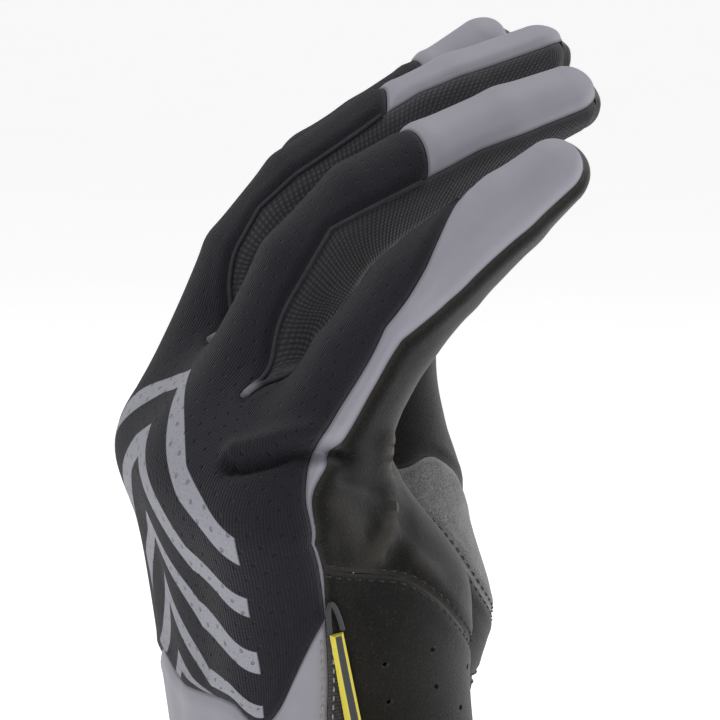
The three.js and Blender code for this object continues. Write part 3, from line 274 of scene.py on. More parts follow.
def ring_probe(around, height):
    """Around the hand: 0 degrees is the middle of the palm, 90 the little finger's edge, 180 the back."""
    around, height = np.broadcast_arrays(np.radians(around), np.asarray(height, float))
    middle = fingers[1].spine(fingers[1].stations[0] / 2)[1] * np.clip((height - wrist) / 40, 0, 1)
    start = np.stack([21 * np.sin(around), middle + 4.3 * np.cos(around), height], -1)
    return probe(start, np.stack([np.sin(around), np.cos(around), 0 * around], -1))


yoke_heights = [  # angle around the hand and height
    (83.5, 104), (89, 99.5), (96, 93), (102, 88), (109, 85), (117, 84.5), (128, 87.5), (152, 88),
    (182, 88.6), (193, 91), (212, 91), (234, 88), (254, 92), (272, 99)]
yoke_angles = [272, 200, 168, 140, 83.5]  # borders of the back's four columns


def yoke_probe(around):
    """The yoke's seam at an angle around the hand."""
    return ring_probe(around, read_table(yoke_heights, around))


cover_starts = [80, 70.5, 65, 64]  # where the grey covers begin, past the knuckles
# Degrees from the middle of a finger's back to the edges of its cloth, at four places along each finger.
thumb_side_edges = [[-88, -92, -96, -96], [-48, -48, -56, -60], [-48, -48, -56, -60], [-50, -50, -52, -56]]
outer_side_edges = [[26, 30, 44, 60], [42, 44, 50, 58], [50, 57, 66, 72], [70, 74, 71, 62]]
slit_ends = {"back": [20, 20, 16], "palm": [29, 29, 26]}
slit_opening = 17  # length over which the cloth between two fingers opens to its full width
palm_edge = 126  # degrees from the middle of a finger's back to the suede of its front
hand_rows, finger_rows = 12, 9  # of the back's sheets, below the slits and beyond them
strip_start = -13  # past the little finger's knuckle, where its grey strip starts
knit_edge = [  # past the little finger's knuckle, and degrees from the middle of its back
    (-13, 86), (-5, 85), (2, 76.5), (8, 57), (14, 45), (22, 46), (34, 49), (43, 41), (50, 26), (55, 9),
    (60, -17), (64, -47)]
side_seam = [  # the same, for the strip's edge at the suede
    (-13, 88.5), (-5, 88), (2, 80), (8, 64), (14, 65), (22, 70), (34, 71), (43, 76), (50, 78),
    (55, 78), (60, 78), (64, 78)]


def edge_angle(k, side, past):
    """Angle of the edge of the cloth on a finger's back, on the thumb's side (-1) or the outer side (1)."""
    finger = fingers[k]
    places = [finger.end / 4, *finger.stations[2:]]
    angles = thumb_side_edges[k] if side < 0 else outer_side_edges[k]
    return read_table(list(zip(places, angles)), np.maximum(past, places[0]))


def has_neighbour(k, side):
    """Whether there is a finger on that side."""
    return 0 <= k + side < 4


def slit_end(k, side, layer):
    """How far past the knuckles the slit beside a finger ends."""
    return slit_ends[layer][k if side > 0 else k - 1]


def mid_probe(k, past, facing):
    """Midway between fingers k and k + 1, out of the back (1) or the palm (-1)."""
    a, b = fingers[k], fingers[k + 1]
    back = unit(a.frame(past)[1] + b.frame(past)[1])
    return probe((a.spine(past) + b.spine(past)) / 2, back * facing)


def edge_probe(k, side, past, layer):
    """Long edge of a finger's cloth: midway to its neighbour up to the slit, and over the slit's opening it
    moves to the finger's own side."""
    past = np.asarray(past, float)
    if not has_neighbour(k, side):
        angle = read_table(side_seam, past) if k == 3 else edge_angle(k, side, past)
        return finger_probe(k, past, angle)
    own = finger_probe(k, past, edge_angle(k, side, past) if layer == "back" else side * palm_edge)
    middle = mid_probe(min(k, k + side), past, 1 if layer == "back" else -1)
    return between(middle, own, ease((past - slit_end(k, side, layer)) / slit_opening))


seam_depth = 11  # how far inside the form the probes of the thumb's seam start
thumb_seam = np.array([  # place, way out and angle around the thumb
    [-13, 18, 119, 1, 0, 0, 90], [-13.5, 28, 109, 0.85, 0.5, 0, 62], [-16, 34, 99, 0.5, 0.87, 0, 32],
    [-25, 37, 92.5, 0, 1, 0, 0], [-35, 32, 92, -0.6, 0.8, 0, -35], [-39, 22, 97, -1, 0.2, 0, -75],
    [-39, 11, 106, -0.95, 0, 0.3, -110], [-34, 4, 116, -0.5, -0.1, 0.85, -150],
    [-26, 3, 119.5, 0, -0.2, 1, -180], [-17, 7, 120, 0.6, -0.1, 0.8, -225]])
seam_count = len(thumb_seam)
seam_rows = probe(thumb_seam[:, :3] - seam_depth * unit(thumb_seam[:, 3:6]), thumb_seam[:, 3:6])


def thumb_seam_probe(row):
    """Closed cubic curve through the rows of the seam around the thumb's root. Its slope at a row is that of
    the chord between the rows beside it."""
    row = np.asarray(row, float)
    k = np.floor(row).astype(int)
    s = (row - k)[..., None]
    w, x, y, z = (seam_rows[(k + step) % seam_count] for step in (-1, 0, 1, 2))
    found = x + 0.5 * s * (y - w + s * (2 * w - 5 * x + 4 * y - z + s * (3 * (x - y) + z - w)))
    return probe(found[..., :3], found[..., 3:])


def thumb_side_edge(row):
    """Thumb's side of the back panel, by row: from the yoke to the thumb, along its seam from row 4 to
    row 7, and on past the knuckle to the height of the slits at row 12."""
    row = np.asarray(row, float)
    index = [finger_probe(0, past, edge_angle(0, -1, past)) for past in (6, 20)]
    low = between(yoke_probe(yoke_angles[0]), thumb_seam_probe(6), row / 4)
    seam = thumb_seam_probe(6 + np.clip((row - 4) / 3, 0, 1))
    above = between(thumb_seam_probe(7), index[0], (row - 7) / 3)
    high = between(index[0], index[1], (row - 10) / 2)
    row = row[..., None]
    return np.where(row < 4, low, np.where(row <= 7, seam, np.where(row <= 10, above, high)))


def back_border(border, s):
    """Border between two columns of the back, from the yoke at s = 0 to the slits at s = 1."""
    if border == 0:
        return thumb_side_edge(s * hand_rows)
    start = yoke_probe(yoke_angles[border])
    if border == 4:
        past = mix(strip_start, slit_ends["back"][2], s)
        return between(start, finger_probe(3, past, read_table(knit_edge, past)), ease(s / 0.3))
    past = mix(-40, slit_ends["back"][border - 1], s)
    return between(start, mid_probe(border - 1, past, 1), ease(s / 0.45))


def sheet(columns, rows, bottom, top, left, right):
    """Patch of probes: the blend of its bottom and top, plus that of its left and right, less that of its
    four corners."""
    u, v = np.linspace(0, 1, columns * fineness + 1), np.linspace(0, 1, rows * fineness + 1)
    low, high, start, end = bottom(u)[None], top(u)[None], left(v)[:, None], right(v)[:, None]
    u, v = u[None, :, None], v[:, None, None]
    corners = ((1 - u) * (1 - v) * low[:, :1] + u * (1 - v) * low[:, -1:]
               + (1 - u) * v * high[:, :1] + u * v * high[:, -1:])
    return (1 - v) * low + v * high + (1 - u) * start + u * end - corners


folds = [  # of worn cloth, along a line: height, minus for a crease, half width, and points of the line
    (-3.2, 1.35, [(32, -23, 129.8), (34, -21.4, 130), (37.2, -17.8, 131), (39.2, -13.9, 132.2),
                  (40.6, -9, 132.6), (40.8, -5, 132)]),
    (1.7, 2.2, [(32, -23, 133.6), (37.2, -17.8, 135.2), (39.8, -13, 136.2), (40.8, -8, 136.4)]),
    (1.5, 2.0, [(36, 3.8, 134), (34.6, 4.6, 129), (33.1, 5.4, 126.3), (34.1, 5.5, 123.3), (37, 3.8, 118.8),
                (38.8, 1.8, 115)]),
    (-1.0, 1.9, [(34, 7.6, 129), (35.6, 8.2, 122.4), (37.6, 6.6, 118), (39, 4.4, 113.6)]),
    (0.9, 2.0, [(37.6, 5.8, 117.6), (38, 7.6, 114.2), (37.6, 11.5, 110.7)]),
    (0.8, 3.2, [(41, -7, 124), (40.4, -3.5, 119.4), (40, -2, 114)]),
    (-0.7, 1.6, [(40.6, -4.6, 128), (39.6, 0.4, 126.6), (37.6, 3, 125.4)]),
]


def on_form(points):
    """Points brought to the form by two steps along its slope."""
    for _ in range(2):
        points = points - times(form(points), outward(points))
    return points


def fold_height(points):
    """Sum over the folds of height exp(-(distance to the line / half width) squared)."""
    total = np.zeros(len(points))
    for height, half_width, line in folds:
        line = on_form(np.array(line, float))
        nearest = np.full(len(points), 1e9)
        for a, b in zip(line, line[1:]):
            s = np.clip((points - a) @ (b - a) / ((b - a) @ (b - a)), 0, 1)
            nearest = np.minimum(nearest, ((points - a - times(s, b - a)) ** 2).sum(-1))
        total += height * np.exp(-nearest / half_width ** 2)
    return total


def grid_faces(rows, columns, base=0):
    """Two triangles for each cell of a grid whose points are numbered row by row."""
    a = base + (np.arange(rows - 1)[:, None] * columns + np.arange(columns - 1)).ravel()
    return np.concatenate([np.stack([a, a + 1, a + columns], 1),
                           np.stack([a + 1, a + columns + 1, a + columns], 1)])


joining_cell = 0.04  # points that fall together in a cell of this size are one


def join_points(points, faces, owner):
    """Points that fall in one small cell become the first of them, for three places of the cells.
    Triangles that lose a corner go. owner numbers the sheet of each triangle."""
    home = np.arange(len(points))
    for shift in (0, 0.31, 0.67):
        cells = np.floor(points[home] / joining_cell + shift).astype(np.int64)
        _, first, label = np.unique(cells, axis=0, return_index=True, return_inverse=True)
        home = home[first][label.ravel()]
    kept, label = np.unique(home, return_inverse=True)
    faces = label[faces]
    whole = (faces[:, 0] != faces[:, 1]) & (faces[:, 1] != faces[:, 2]) & (faces[:, 2] != faces[:, 0])
    return kept, faces[whole], owner[whole]


def nearest_distance(points, others):
    """Distance from each point to the nearest of the others."""
    found = np.empty(len(points))
    block = 512
    for at in range(0, len(points), block):
        p = points[at:at + block]
        square = (p ** 2).sum(1)[:, None] + (others ** 2).sum(1) - 2 * p @ others.T
        found[at:at + block] = np.sqrt(np.maximum(square.min(1), 0))
    return found


crease_angle = math.radians(50)  # edges that turn by more are shaded sharp


def add_mesh(name, points, faces, layers=None, uv=None):
    """A mesh object in metres, shaded smooth, with a number for each point in each named layer."""
    mesh = bpy.data.meshes.new(name)
    mesh.from_pydata((points / 1000).tolist(), [], faces.tolist())
    for layer, values in (layers or {}).items():
        mesh.attributes.new(layer, "FLOAT", "POINT").data.foreach_set("value", values.astype(np.float32))
    if uv is not None:
        corners = np.empty(len(mesh.loops), np.int32)
        mesh.loops.foreach_get("vertex_index", corners)
        mesh.uv_layers.new(name="cloth").data.foreach_set("uv", uv[corners].astype(np.float32).ravel())
    mesh.shade_smooth()
    mesh.set_sharp_from_angle(angle=crease_angle)
    piece = bpy.data.objects.new(name, mesh)
    bpy.context.scene.collection.objects.link(piece)
    return piece


seam_reach = 1.1  # how far from its seam the cloth rolls in
swell, swell_at = 0.16, 2.3  # the cloth stands up a little beyond its roll
seam_gap = 0.07  # how far each edge is drawn back from its seam


def sew(name, sheets, wall, maps=None, roll=0.45, proud=0.0):
    """Cloth between its seams. Each point leaves the form along its outward slope by proud, plus the folds,
    less the roll into its seams: roll exp(-(d / reach)^2) - swell exp(-((d - swell_at) / reach)^2), with d
    the distance to the edge. A second skin lies inside by the wall, and the two are closed along the edge."""
    counts = [grid.shape[0] * grid.shape[1] for grid in sheets]
    bases = np.cumsum([0] + counts[:-1])
    faces = [grid_faces(*grid.shape[:2], base) for grid, base in zip(sheets, bases)]
    points = leave_form(np.concatenate([grid.reshape(-1, 6) for grid in sheets]))
    owner = np.repeat(np.arange(len(sheets)), [len(f) for f in faces])
    kept, faces, owner = join_points(points, np.concatenate(faces), owner)
    points = points[kept]
    cloth_map = None
    if maps is not None:
        cloth_map = np.tile(np.concatenate([m.reshape(-1, 2) for m in maps])[kept], (2, 1))
    normals = outward(points)
    a, b, c = (points[faces[:, k]] for k in range(3))
    facing = np.bincount(owner, (np.cross(b - a, c - a) * normals[faces[:, 0]]).sum(1), len(sheets))
    faces = np.where((facing[owner] < 0)[:, None], faces[:, ::-1], faces)
    edges = np.concatenate([faces[:, [0, 1]], faces[:, [1, 2]], faces[:, [2, 0]]])
    keys = edges[:, 0] * len(points) + edges[:, 1]
    rim = edges[~np.isin(keys, edges[:, 1] * len(points) + edges[:, 0])]
    edge_distance = nearest_distance(points, points[np.unique(rim)])
    fold = fold_height(points)
    lift = proud + fold - roll * np.exp(-(edge_distance / seam_reach) ** 2)
    lift += swell * np.exp(-((edge_distance - swell_at) / seam_reach) ** 2)
    inwards = np.zeros_like(points)
    across = unit(np.cross(normals[rim[:, 0]], unit(points[rim[:, 1]] - points[rim[:, 0]])))
    for corner in (0, 1):
        np.add.at(inwards, rim[:, corner], across)
    on_rim = np.linalg.norm(inwards, axis=1) > 0.3
    points[on_rim] += seam_gap * unit(inwards[on_rim])
    outer, inner = points + times(lift, normals), points - times(wall + np.maximum(-lift, 0) * 0.6, normals)
    n = len(points)
    walls = np.concatenate([np.stack([rim[:, 1], rim[:, 0], rim[:, 0] + n], 1),
                            np.stack([rim[:, 1], rim[:, 0] + n, rim[:, 1] + n], 1)])
    every = np.concatenate([faces, faces[:, ::-1] + n, walls])
    layers = {"edge": np.concatenate([edge_distance, np.zeros(n)]), "fold": np.tile(fold, 2)}
    return add_mesh(name, np.concatenate([outer, inner]), every, layers, cloth_map)


def cover_start(k, across):
    """Where a cover begins, further on at its middle than at its corners."""
    bow = 3
    return cover_starts[k] + bow * (1 - np.asarray(across, float) ** 2)


def cloth_grid(columns, rows, width, low, length, shift=0.0):
    """Places on the flat cloth, in millimetres, of a grid of points."""
    u, v = np.meshgrid(np.linspace(0, 1, columns * fineness + 1), np.linspace(0, 1, rows * fineness + 1))
    return np.stack([width * (shift + u), low + length * v], -1)


slit_row, column_width = 62, 24  # on the flat cloth: the slits' distance from the yoke, a finger's width


def back_sheets():
    """Below the slits and beyond them, one sheet each for each finger, with a cloth map in millimetres."""
    sheets, maps = [], []
    for k in range(4):
        columns = 5 if k in (0, 3) else 4
        left_slit = slit_end(k, -1 if k else 1, "back")
        right_slit = slit_end(k, 1 if k < 3 else -1, "back")

        def across_slit(u, k=k):
            return between(back_border(k, 1.0), back_border(k + 1, 1.0), u)

        def left(v, k=k, low=left_slit):
            return edge_probe(k, -1, mix(low, cover_starts[k], v), "back")

        def right(v, k=k, low=right_slit):
            past = mix(low, cover_starts[k], v)
            if k == 3:
                return finger_probe(3, past, read_table(knit_edge, past))
            return edge_probe(k, 1, past, "back")

        def top(u, k=k, left=left, right=right):
            if k == 3:
                return between(left(1.0), right(1.0), u)
            low, high = edge_angle(k, -1, cover_starts[k]), edge_angle(k, 1, cover_starts[k])
            return finger_probe(k, cover_start(k, 2 * u - 1), mix(low, high, u))

        seam_angles = yoke_angles[k:k + 2]
        sheets.append(sheet(columns, hand_rows, lambda u: yoke_probe(mix(*seam_angles, u)), across_slit,
                            lambda v: back_border(k, v), lambda v: back_border(k + 1, v)))
        sheets.append(sheet(columns, finger_rows, across_slit, top, left, right))
        reach = cover_starts[k] - (left_slit + right_slit) / 2
        for rows, low, length in ((hand_rows, 0, slit_row), (finger_rows, slit_row, reach)):
            maps.append(cloth_grid(columns, rows, column_width, low, length, k))
    return sheets, maps


# Each cloth has one shader. Its pattern is written in millimetres of cloth or of the object.

class Strand:
    """A socket of a shader. Its operators add Math nodes."""

    def __init__(self, finish, socket):
        self.finish, self.socket = finish, socket

    def math(self, operation, *values):
        """A Math node on this socket and the other values."""
        return self.finish.node("ShaderNodeMath", {"operation": operation}, dict(enumerate((self,) + values)))

    def __add__(self, other):
        return self.math("ADD", other)

    def __mul__(self, other):
        return self.math("MULTIPLY", other)

    def __sub__(self, other):
        return self.math("SUBTRACT", other)

    def __rsub__(self, other):
        return self.math("MULTIPLY", -1.0) + other

    def __truediv__(self, other):
        return self.math("DIVIDE", other)

    def __pow__(self, other):
        return self.math("POWER", other)

    __radd__, __rmul__ = __add__, __mul__

    def wave(self, pitch):
        """From 0 to 1 and back in each pitch: 0.5 + 0.5 sin(2 pi x / pitch)."""
        return (self * (2 * math.pi / pitch)).math("SINE") * 0.5 + 0.5

    def cell(self, pitch, shift=0.0):
        """Distance from the nearest of a row of places one pitch apart."""
        return ((self / pitch + shift).math("FRACT") - 0.5).math("ABSOLUTE") * pitch

    def step(self, low, high):
        """Smooth step from 0 at low to 1 at high."""
        sockets = {"Value": self, "From Min": low, "From Max": high}
        return self.finish.node("ShaderNodeMapRange", {"interpolation_type": "SMOOTHSTEP"}, sockets)


class Finish:
    """A material with one Principled shader, whose constants are given by the sockets' names."""

    def __init__(self, name, **constants):
        self.material = bpy.data.materials.new(name)
        self.material.use_nodes = True
        self.tree = self.material.node_tree
        self.shader = self.tree.nodes["Principled BSDF"]
        for socket, value in constants.items():
            self.shader.inputs[socket.replace("_", " ")].default_value = value

    def node(self, kind, settings, sockets, output=0):
        """Any node: its settings are set first, then the values or links of its sockets."""
        made = self.tree.nodes.new(kind)
        for key, value in settings.items():
            setattr(made, key, value)
        for key, value in sockets.items():
            if isinstance(value, Strand):
                self.tree.links.new(value.socket, made.inputs[key])
            else:
                made.inputs[key].default_value = value
        return Strand(self, made.outputs[output])

    def place(self):
        """Object coordinates in millimetres."""
        metres = self.node("ShaderNodeTexCoord", {}, {}, "Object")
        return self.node("ShaderNodeVectorMath", {"operation": "SCALE"}, {0: metres, "Scale": 1000.0})

    def axis(self, vector, name):
        """One number of a vector."""
        return self.node("ShaderNodeSeparateXYZ", {}, {0: vector}, name)

    def noise(self, size, detail=2.0, roughness=0.5):
        """Noise of about 0 to 1, whose lumps are of the given size in millimetres."""
        sockets = {"Vector": self.place(), "Scale": 1 / size, "Detail": detail, "Roughness": roughness}
        return self.node("ShaderNodeTexNoise", {}, sockets)

    def layer(self, name):
        """A number kept for each point of the mesh."""
        return self.node("ShaderNodeAttribute", {"attribute_name": name}, {}, "Fac")

    def cloth(self):
        """The two directions of the cloth's map, in millimetres."""
        flat = self.node("ShaderNodeUVMap", {"uv_map": "cloth"}, {})
        return self.axis(flat, "X"), self.axis(flat, "Y")

    def tint(self, share, a, b):
        """A colour between a and b. A colour given as three shades from 0 to 255 is made linear."""
        low, high = (colour if isinstance(colour, Strand) else shade(*colour) for colour in (a, b))
        return self.node("ShaderNodeMix", {"data_type": "RGBA"}, {0: share, 6: low, 7: high}, 2)

    def paint(self, **sockets):
        """Links values to the shader's sockets. Height is a relief in millimetres."""
        height = sockets.pop("Height", None)
        for socket, value in sockets.items():
            self.tree.links.new(value.socket, self.shader.inputs[socket.replace("_", " ")])
        if height is not None:
            bump = self.node("ShaderNodeBump", {}, {"Height": height, "Distance": 0.001})
            self.tree.links.new(bump.socket, self.shader.inputs["Normal"])
        return self.material


def shade(*levels):
    """Linear colour of three shades from 0 to 255: (level / 255) to the power 2.2."""
    return tuple((level / 255) ** 2.2 for level in levels) + (1.0,)


def knit_finish():
    """Fine ribs 0.5 mm apart with rows of loops, their crests painted lighter as a painted highlight, and
    holes in staggered rows, painted near black as painted shade inside them. A flat grey print of chevrons
    lies across the back of the hand."""
    knit = Finish("stretch_knit", Roughness=0.82, Sheen_Weight=0.06, Sheen_Roughness=0.5,
                  Specular_IOR_Level=0.3)
    across, along = knit.cloth()
    rib_pitch, loop_pitch, hole_across, hole_along = 0.52, 0.62, 3.2, 4.6
    rib, loop = across.wave(rib_pitch), along.wave(loop_pitch)
    dots = []
    for shift in (0.0, 0.5):
        square = across.cell(hole_across, shift) ** 2 + along.cell(hole_along, shift) ** 2
        dots.append(1 - square.step(0.03, 0.16))
    hole = dots[0].math("MAXIMUM", dots[1])
    mottle, broad = knit.noise(1.4, 3), knit.noise(18, 2)
    # Rib and loop crests are painted lighter than their hollows: a painted highlight. The mottle and broad
    # patches are the knit's own uneven tone.
    light = rib * 0.34 + loop * 0.14 + mottle * 0.3 + broad * 0.3
    cloth = knit.tint(light, (10, 10, 15), (38, 37, 46))
    # Paler within about a millimetre of the seams: partly wear, partly a painted highlight where the rolled
    # edge catches light.
    paler_at_seam = 1 - knit.layer("edge").step(0.25, 1.1)
    cloth = knit.tint(paler_at_seam * 0.3, cloth, (76, 76, 82))
    middle, half_width, bar_pitch, bar_half, print_start, print_end = 54, 30, 10.5, 1.9, 8.9, 61
    from_middle = (across - middle).math("ABSOLUTE")
    chevron = along + from_middle * 0.55
    inside = 1 - chevron.cell(bar_pitch, 0.2).step(bar_half, bar_half + 0.25)
    inside *= 1 - from_middle.step(half_width, half_width + 0.4)
    inside *= chevron.step(print_start, print_start + 0.1)
    inside *= 1 - chevron.step(print_end, print_end + 0.1)
    speck = knit.noise(0.5, 2).step(0.3, 0.42)
    printed = inside * (0.75 + speck * 0.25)
    cloth = knit.tint(printed, cloth, (147, 147, 156))
    # The holes are painted near black: painted shade inside them, since the cloth has only a shallow dip
    # there.
    cloth = knit.tint(hole * (0.75 - printed * 0.4), cloth, (9, 9, 11))
    relief = rib * 0.1 + loop * 0.04 + mottle * 0.06 - hole * 0.3
    return knit.paint(Base_Color=cloth, Roughness=0.86 - printed * 0.2, Height=relief)


sheets, maps = back_sheets()
back = sew("back_cloth", sheets, 1.2, maps)
back.data.materials.append(knit_finish())
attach(back, "root")
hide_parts("back_panel")


# Fingertip covers. Smooth matte synthetic, grey, sewn to the knit and wrapped over the end of each finger.
# The little finger's one runs on as a strip that tapers down the edge of the hand.

def chart(columns, rows, at):
    """Grid of probes, each given by at(u, v)."""
    return at(*np.meshgrid(np.linspace(0, 1, columns * fineness + 1), np.linspace(0, 1, rows * fineness + 1)))


tip_reach = 76  # degrees that a cover wraps over the fingertip, from its last joint
cover_rows = 5  # from the start of a cover to the last joint


def cover_tip(k, across, over):
    """Over the fingertip, as on half a disc: x = across sqrt(1 - over^2 / 2) and y = over
    sqrt(1 - across^2 / 2)."""
    finger = fingers[k]
    low = edge_angle(k, -1, finger.end)
    high = read_table(side_seam, finger.end) if k == 3 else edge_angle(k, 1, finger.end)
    across, over = np.broadcast_arrays(np.asarray(across, float), np.asarray(over, float))
    x, y = across * np.sqrt(1 - over ** 2 / 2), over * np.sqrt(1 - across ** 2 / 2)
    along, back, side = finger.frame(finger.end)
    angle, rise = np.radians((low + high) / 2 + x * (high - low) / 2), np.radians(tip_reach * y)
    turn = np.hypot(angle, rise) + 1e-9
    out = times(np.cos(turn), back) + times(np.sin(turn) / turn, times(angle, side) + times(rise, along))
    return probe(finger.spine(finger.end), out)


def cover_sheets(k):
    """The cover along the finger, and its half disc over the tip."""
    finger = fingers[k]

    def end_row(u):
        high = read_table(side_seam, finger.end) if k == 3 else edge_angle(k, 1, finger.end)
        return finger_probe(k, np.full(np.shape(u), finger.end), mix(edge_angle(k, -1, finger.end), high, u))

    def along(u, v):
        past = mix(cover_starts[k], finger.end, v)
        turn = mix(edge_angle(k, -1, past), edge_angle(k, 1, past), u)
        return finger_probe(k, mix(cover_start(k, 2 * u - 1), finger.end, v), turn)

    strip_rows, slit = hand_rows + finger_rows + cover_rows, slit_ends["back"][2]

    def strip(u, v):
        row = v * strip_rows
        seam_past = np.where(row <= hand_rows, mix(strip_start, slit, row / hand_rows),
                             mix(slit, finger.end, (row - hand_rows) / (strip_rows - hand_rows)))
        seam_angle = read_table(side_seam, seam_past)
        border = back_border(4, np.clip(row / hand_rows, 0, 1))
        low = between(border, finger_probe(3, seam_past, seam_angle), u)
        knit = mix(slit, cover_starts[3], np.clip((row - hand_rows) / finger_rows, 0, 1))
        beyond = np.clip((row - hand_rows - finger_rows) / cover_rows, 0, 1)
        angle = mix(read_table(knit_edge, knit), edge_angle(3, -1, finger.end), beyond)
        high = finger_probe(3, mix(mix(knit, finger.end, beyond), seam_past, u), mix(angle, seam_angle, u))
        return np.where((row <= hand_rows)[..., None], low, high)

    def over_tip(u, v):
        return np.where((v == 0)[..., None], end_row(u), cover_tip(k, 2 * u - 1, v))

    body = chart(4, strip_rows, strip) if k == 3 else chart(4, cover_rows, along)
    return [body, chart(4, 4, over_tip)]


def cover_finish():
    """Smooth matte grey with a very fine grain, a little polished in broad patches, darker in its seams."""
    cover = Finish("grey_cover", Specular_IOR_Level=0.4)
    grain = cover.noise(0.22, 2)
    broad = cover.noise(9, 3)
    rub = cover.noise(2.4, 4, 0.65)
    base = cover.tint(broad * 0.5 + grain * 0.25 + rub * 0.25, (126, 124, 133), (150, 148, 158))
    seam = 1 - cover.layer("edge").step(0.1, 0.8)
    base = cover.tint(seam * 0.6, base, (72, 72, 78))
    return cover.paint(Base_Color=base, Roughness=0.5 + rub * 0.2, Height=grain * 0.02 + rub * 0.03)


grey_cloth = cover_finish()
for k, name in enumerate(("index", "middle", "ring", "pinky")):
    cover = sew(name + "_tip_cover", cover_sheets(k), 1.3)
    cover.data.materials.append(grey_cloth)
    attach(cover, "root")
    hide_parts(name + "_cover")


# Fork strips. Diagonal twill between two fingers, from one fingertip down to the fork and up to the next.
# It is sewn to the knit on one side and to the suede on the other.

def turn_towards(a, b, s):
    """The direction turns from a's to b's at an even rate: (sin((1 - s) t) a + sin(s t) b), t their angle."""
    s = np.asarray(s, float)
    angle = np.arccos(np.clip((a[..., 3:] * b[..., 3:]).sum(-1), -1, 1 - 1e-12))
    out = times(np.sin((1 - s) * angle), a[..., 3:]) + times(np.sin(s * angle), b[..., 3:])
    return probe(blend(a[..., :3], b[..., :3], s), out)


def palm_tip_side(k, side, s):
    """Side edge of the suede as it climbs over the fingertip to meet the cover."""
    if not has_neighbour(k, side):
        return cover_tip(k, side, s)
    last_joint = finger_probe(k, np.full(np.shape(s), fingers[k].end), side * palm_edge)
    return turn_towards(last_joint, cover_tip(k, side, 1), s)


def finger_place(k, low, v):
    """Place along a finger for a share of its rows, to the cover's start and on to the last joint's end."""
    row = v * (finger_rows + cover_rows)
    start = cover_starts[k]
    beyond = mix(start, fingers[k].end, (row - finger_rows) / cover_rows)
    return np.where(row <= finger_rows, mix(low, start, row / finger_rows), beyond)


fork_relief = 0.6  # how far the strip stands past the end of the slit
over_share = 0.78  # how far over the fingertip it runs, as a share of the cover's wrap
fork_width, fork_length, over_length = 15, 50, 9  # on the flat cloth
fork_rows, over_rows = finger_rows + cover_rows, 3


def fork_sheets(k):
    """On each finger a strip from the fork, and its end over the fingertip. Across the strip the directions
    follow a parabola through those of the back's edge, the middle and the palm's edge."""
    sheets, maps = [], []
    for finger, side in ((k, 1), (k + 1, -1)):
        def at_fork(u, v):
            ends = [slit_ends[layer][k] for layer in ("back", "palm")]
            past_back, past_palm = (finger_place(finger, end, v) + fork_relief * (1 - v) for end in ends)
            low = (v <= 0)[..., None]
            back_edge, palm_side = (
                np.where(low, mid_probe(k, past, way), edge_probe(finger, side, past, layer))
                for past, way, layer in ((past_back, 1, "back"), (past_palm, -1, "palm")))
            past = mix(past_back, past_palm, u)
            along = unit(fingers[k].frame(past)[0] + fingers[k + 1].frame(past)[0])
            opened = np.where(v > 0, ease((past - mix(*ends, u)) / slit_opening), 0)
            middle = unit(blend(along, fingers[finger].frame(past)[2] * side, opened))
            out = (times((1 - u) * (1 - 2 * u), back_edge[..., 3:]) + times(4 * u * (1 - u), middle)
                   + times(u * (2 * u - 1), palm_side[..., 3:]))
            return probe(blend(back_edge[..., :3], palm_side[..., :3], u), out)

        def over_tip(u, v):
            s = v * over_share
            edge = turn_towards(cover_tip(finger, side, s), palm_tip_side(finger, side, s), u)
            start = at_fork(u, np.ones_like(u))
            return np.where((v == 0)[..., None], start, between(start, edge, ease(v * 3)))

        sheets += [chart(3, fork_rows, at_fork), chart(3, over_rows, over_tip)]
        for rows, low, length in ((fork_rows, 0, fork_length), (over_rows, fork_length, over_length)):
            maps.append(cloth_grid(3, rows, fork_width, side * low, side * length))
    return sheets, maps


def twill_finish():
    """Diagonal ridges 0.6 mm apart, broken into short floats by a second diagonal."""
    twill = Finish("fork_twill", Sheen_Weight=0.15, Sheen_Roughness=0.4)
    across, along = twill.cloth()
    ridge_pitch, float_pitch = 0.64, 0.95
    ridge = (across * 0.45 + along).wave(ridge_pitch)
    thread = ridge * (0.3 + (across - along * 0.3).wave(float_pitch) * 0.7)
    speck = twill.noise(0.5, 3)
    broad = twill.noise(12, 2)
    base = twill.tint(thread * 0.55 + speck * 0.25 + broad * 0.25, (20, 20, 21), (70, 70, 74))
    paler_at_seam = 1 - twill.layer("edge").step(0.2, 1)
    base = twill.tint(paler_at_seam * 0.35, base, (84, 84, 86))
    return twill.paint(Base_Color=base, Roughness=0.95 - thread * 0.12, Height=thread * 0.16 + speck * 0.05)


twill = twill_finish()
between_fingers = ("index_middle", "middle_ring", "ring_pinky")
for k, name in enumerate(between_fingers):
    sheets, maps = fork_sheets(k)
    strip = sew(name + "_strip", sheets, 1.0, maps)
    strip.data.materials.append(twill)
    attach(strip, "root")
    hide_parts(name + "_fork")


# Palm panel. Synthetic suede over the palm and the fronts of the fingers, with an opening for the thumb.
# It is sewn to the heel panel, the grey side strip and the twill between the fingers.

heel_heights = [  # angle around the hand and height
    (-88, 99), (-62, 90), (-35, 84), (-8, 84), (14, 90), (30, 96.5), (41, 102), (48, 106.5),
    (56, 110.5), (68, 111.5), (84.5, 112)]
heel_angles = [-88, -14, 12, 36, 84.5]  # borders of the palm's four columns
palm_rows, touch_rows = 9, 4  # below the slits, and of them those below the thumb's seam
touch = touch_rows / palm_rows
corner_past = -5  # past the little finger's knuckle, where palm, heel and grey strip meet


def heel_probe(around):
    """The heel's seam at an angle around the hand."""
    return ring_probe(around, read_table(heel_heights, around))


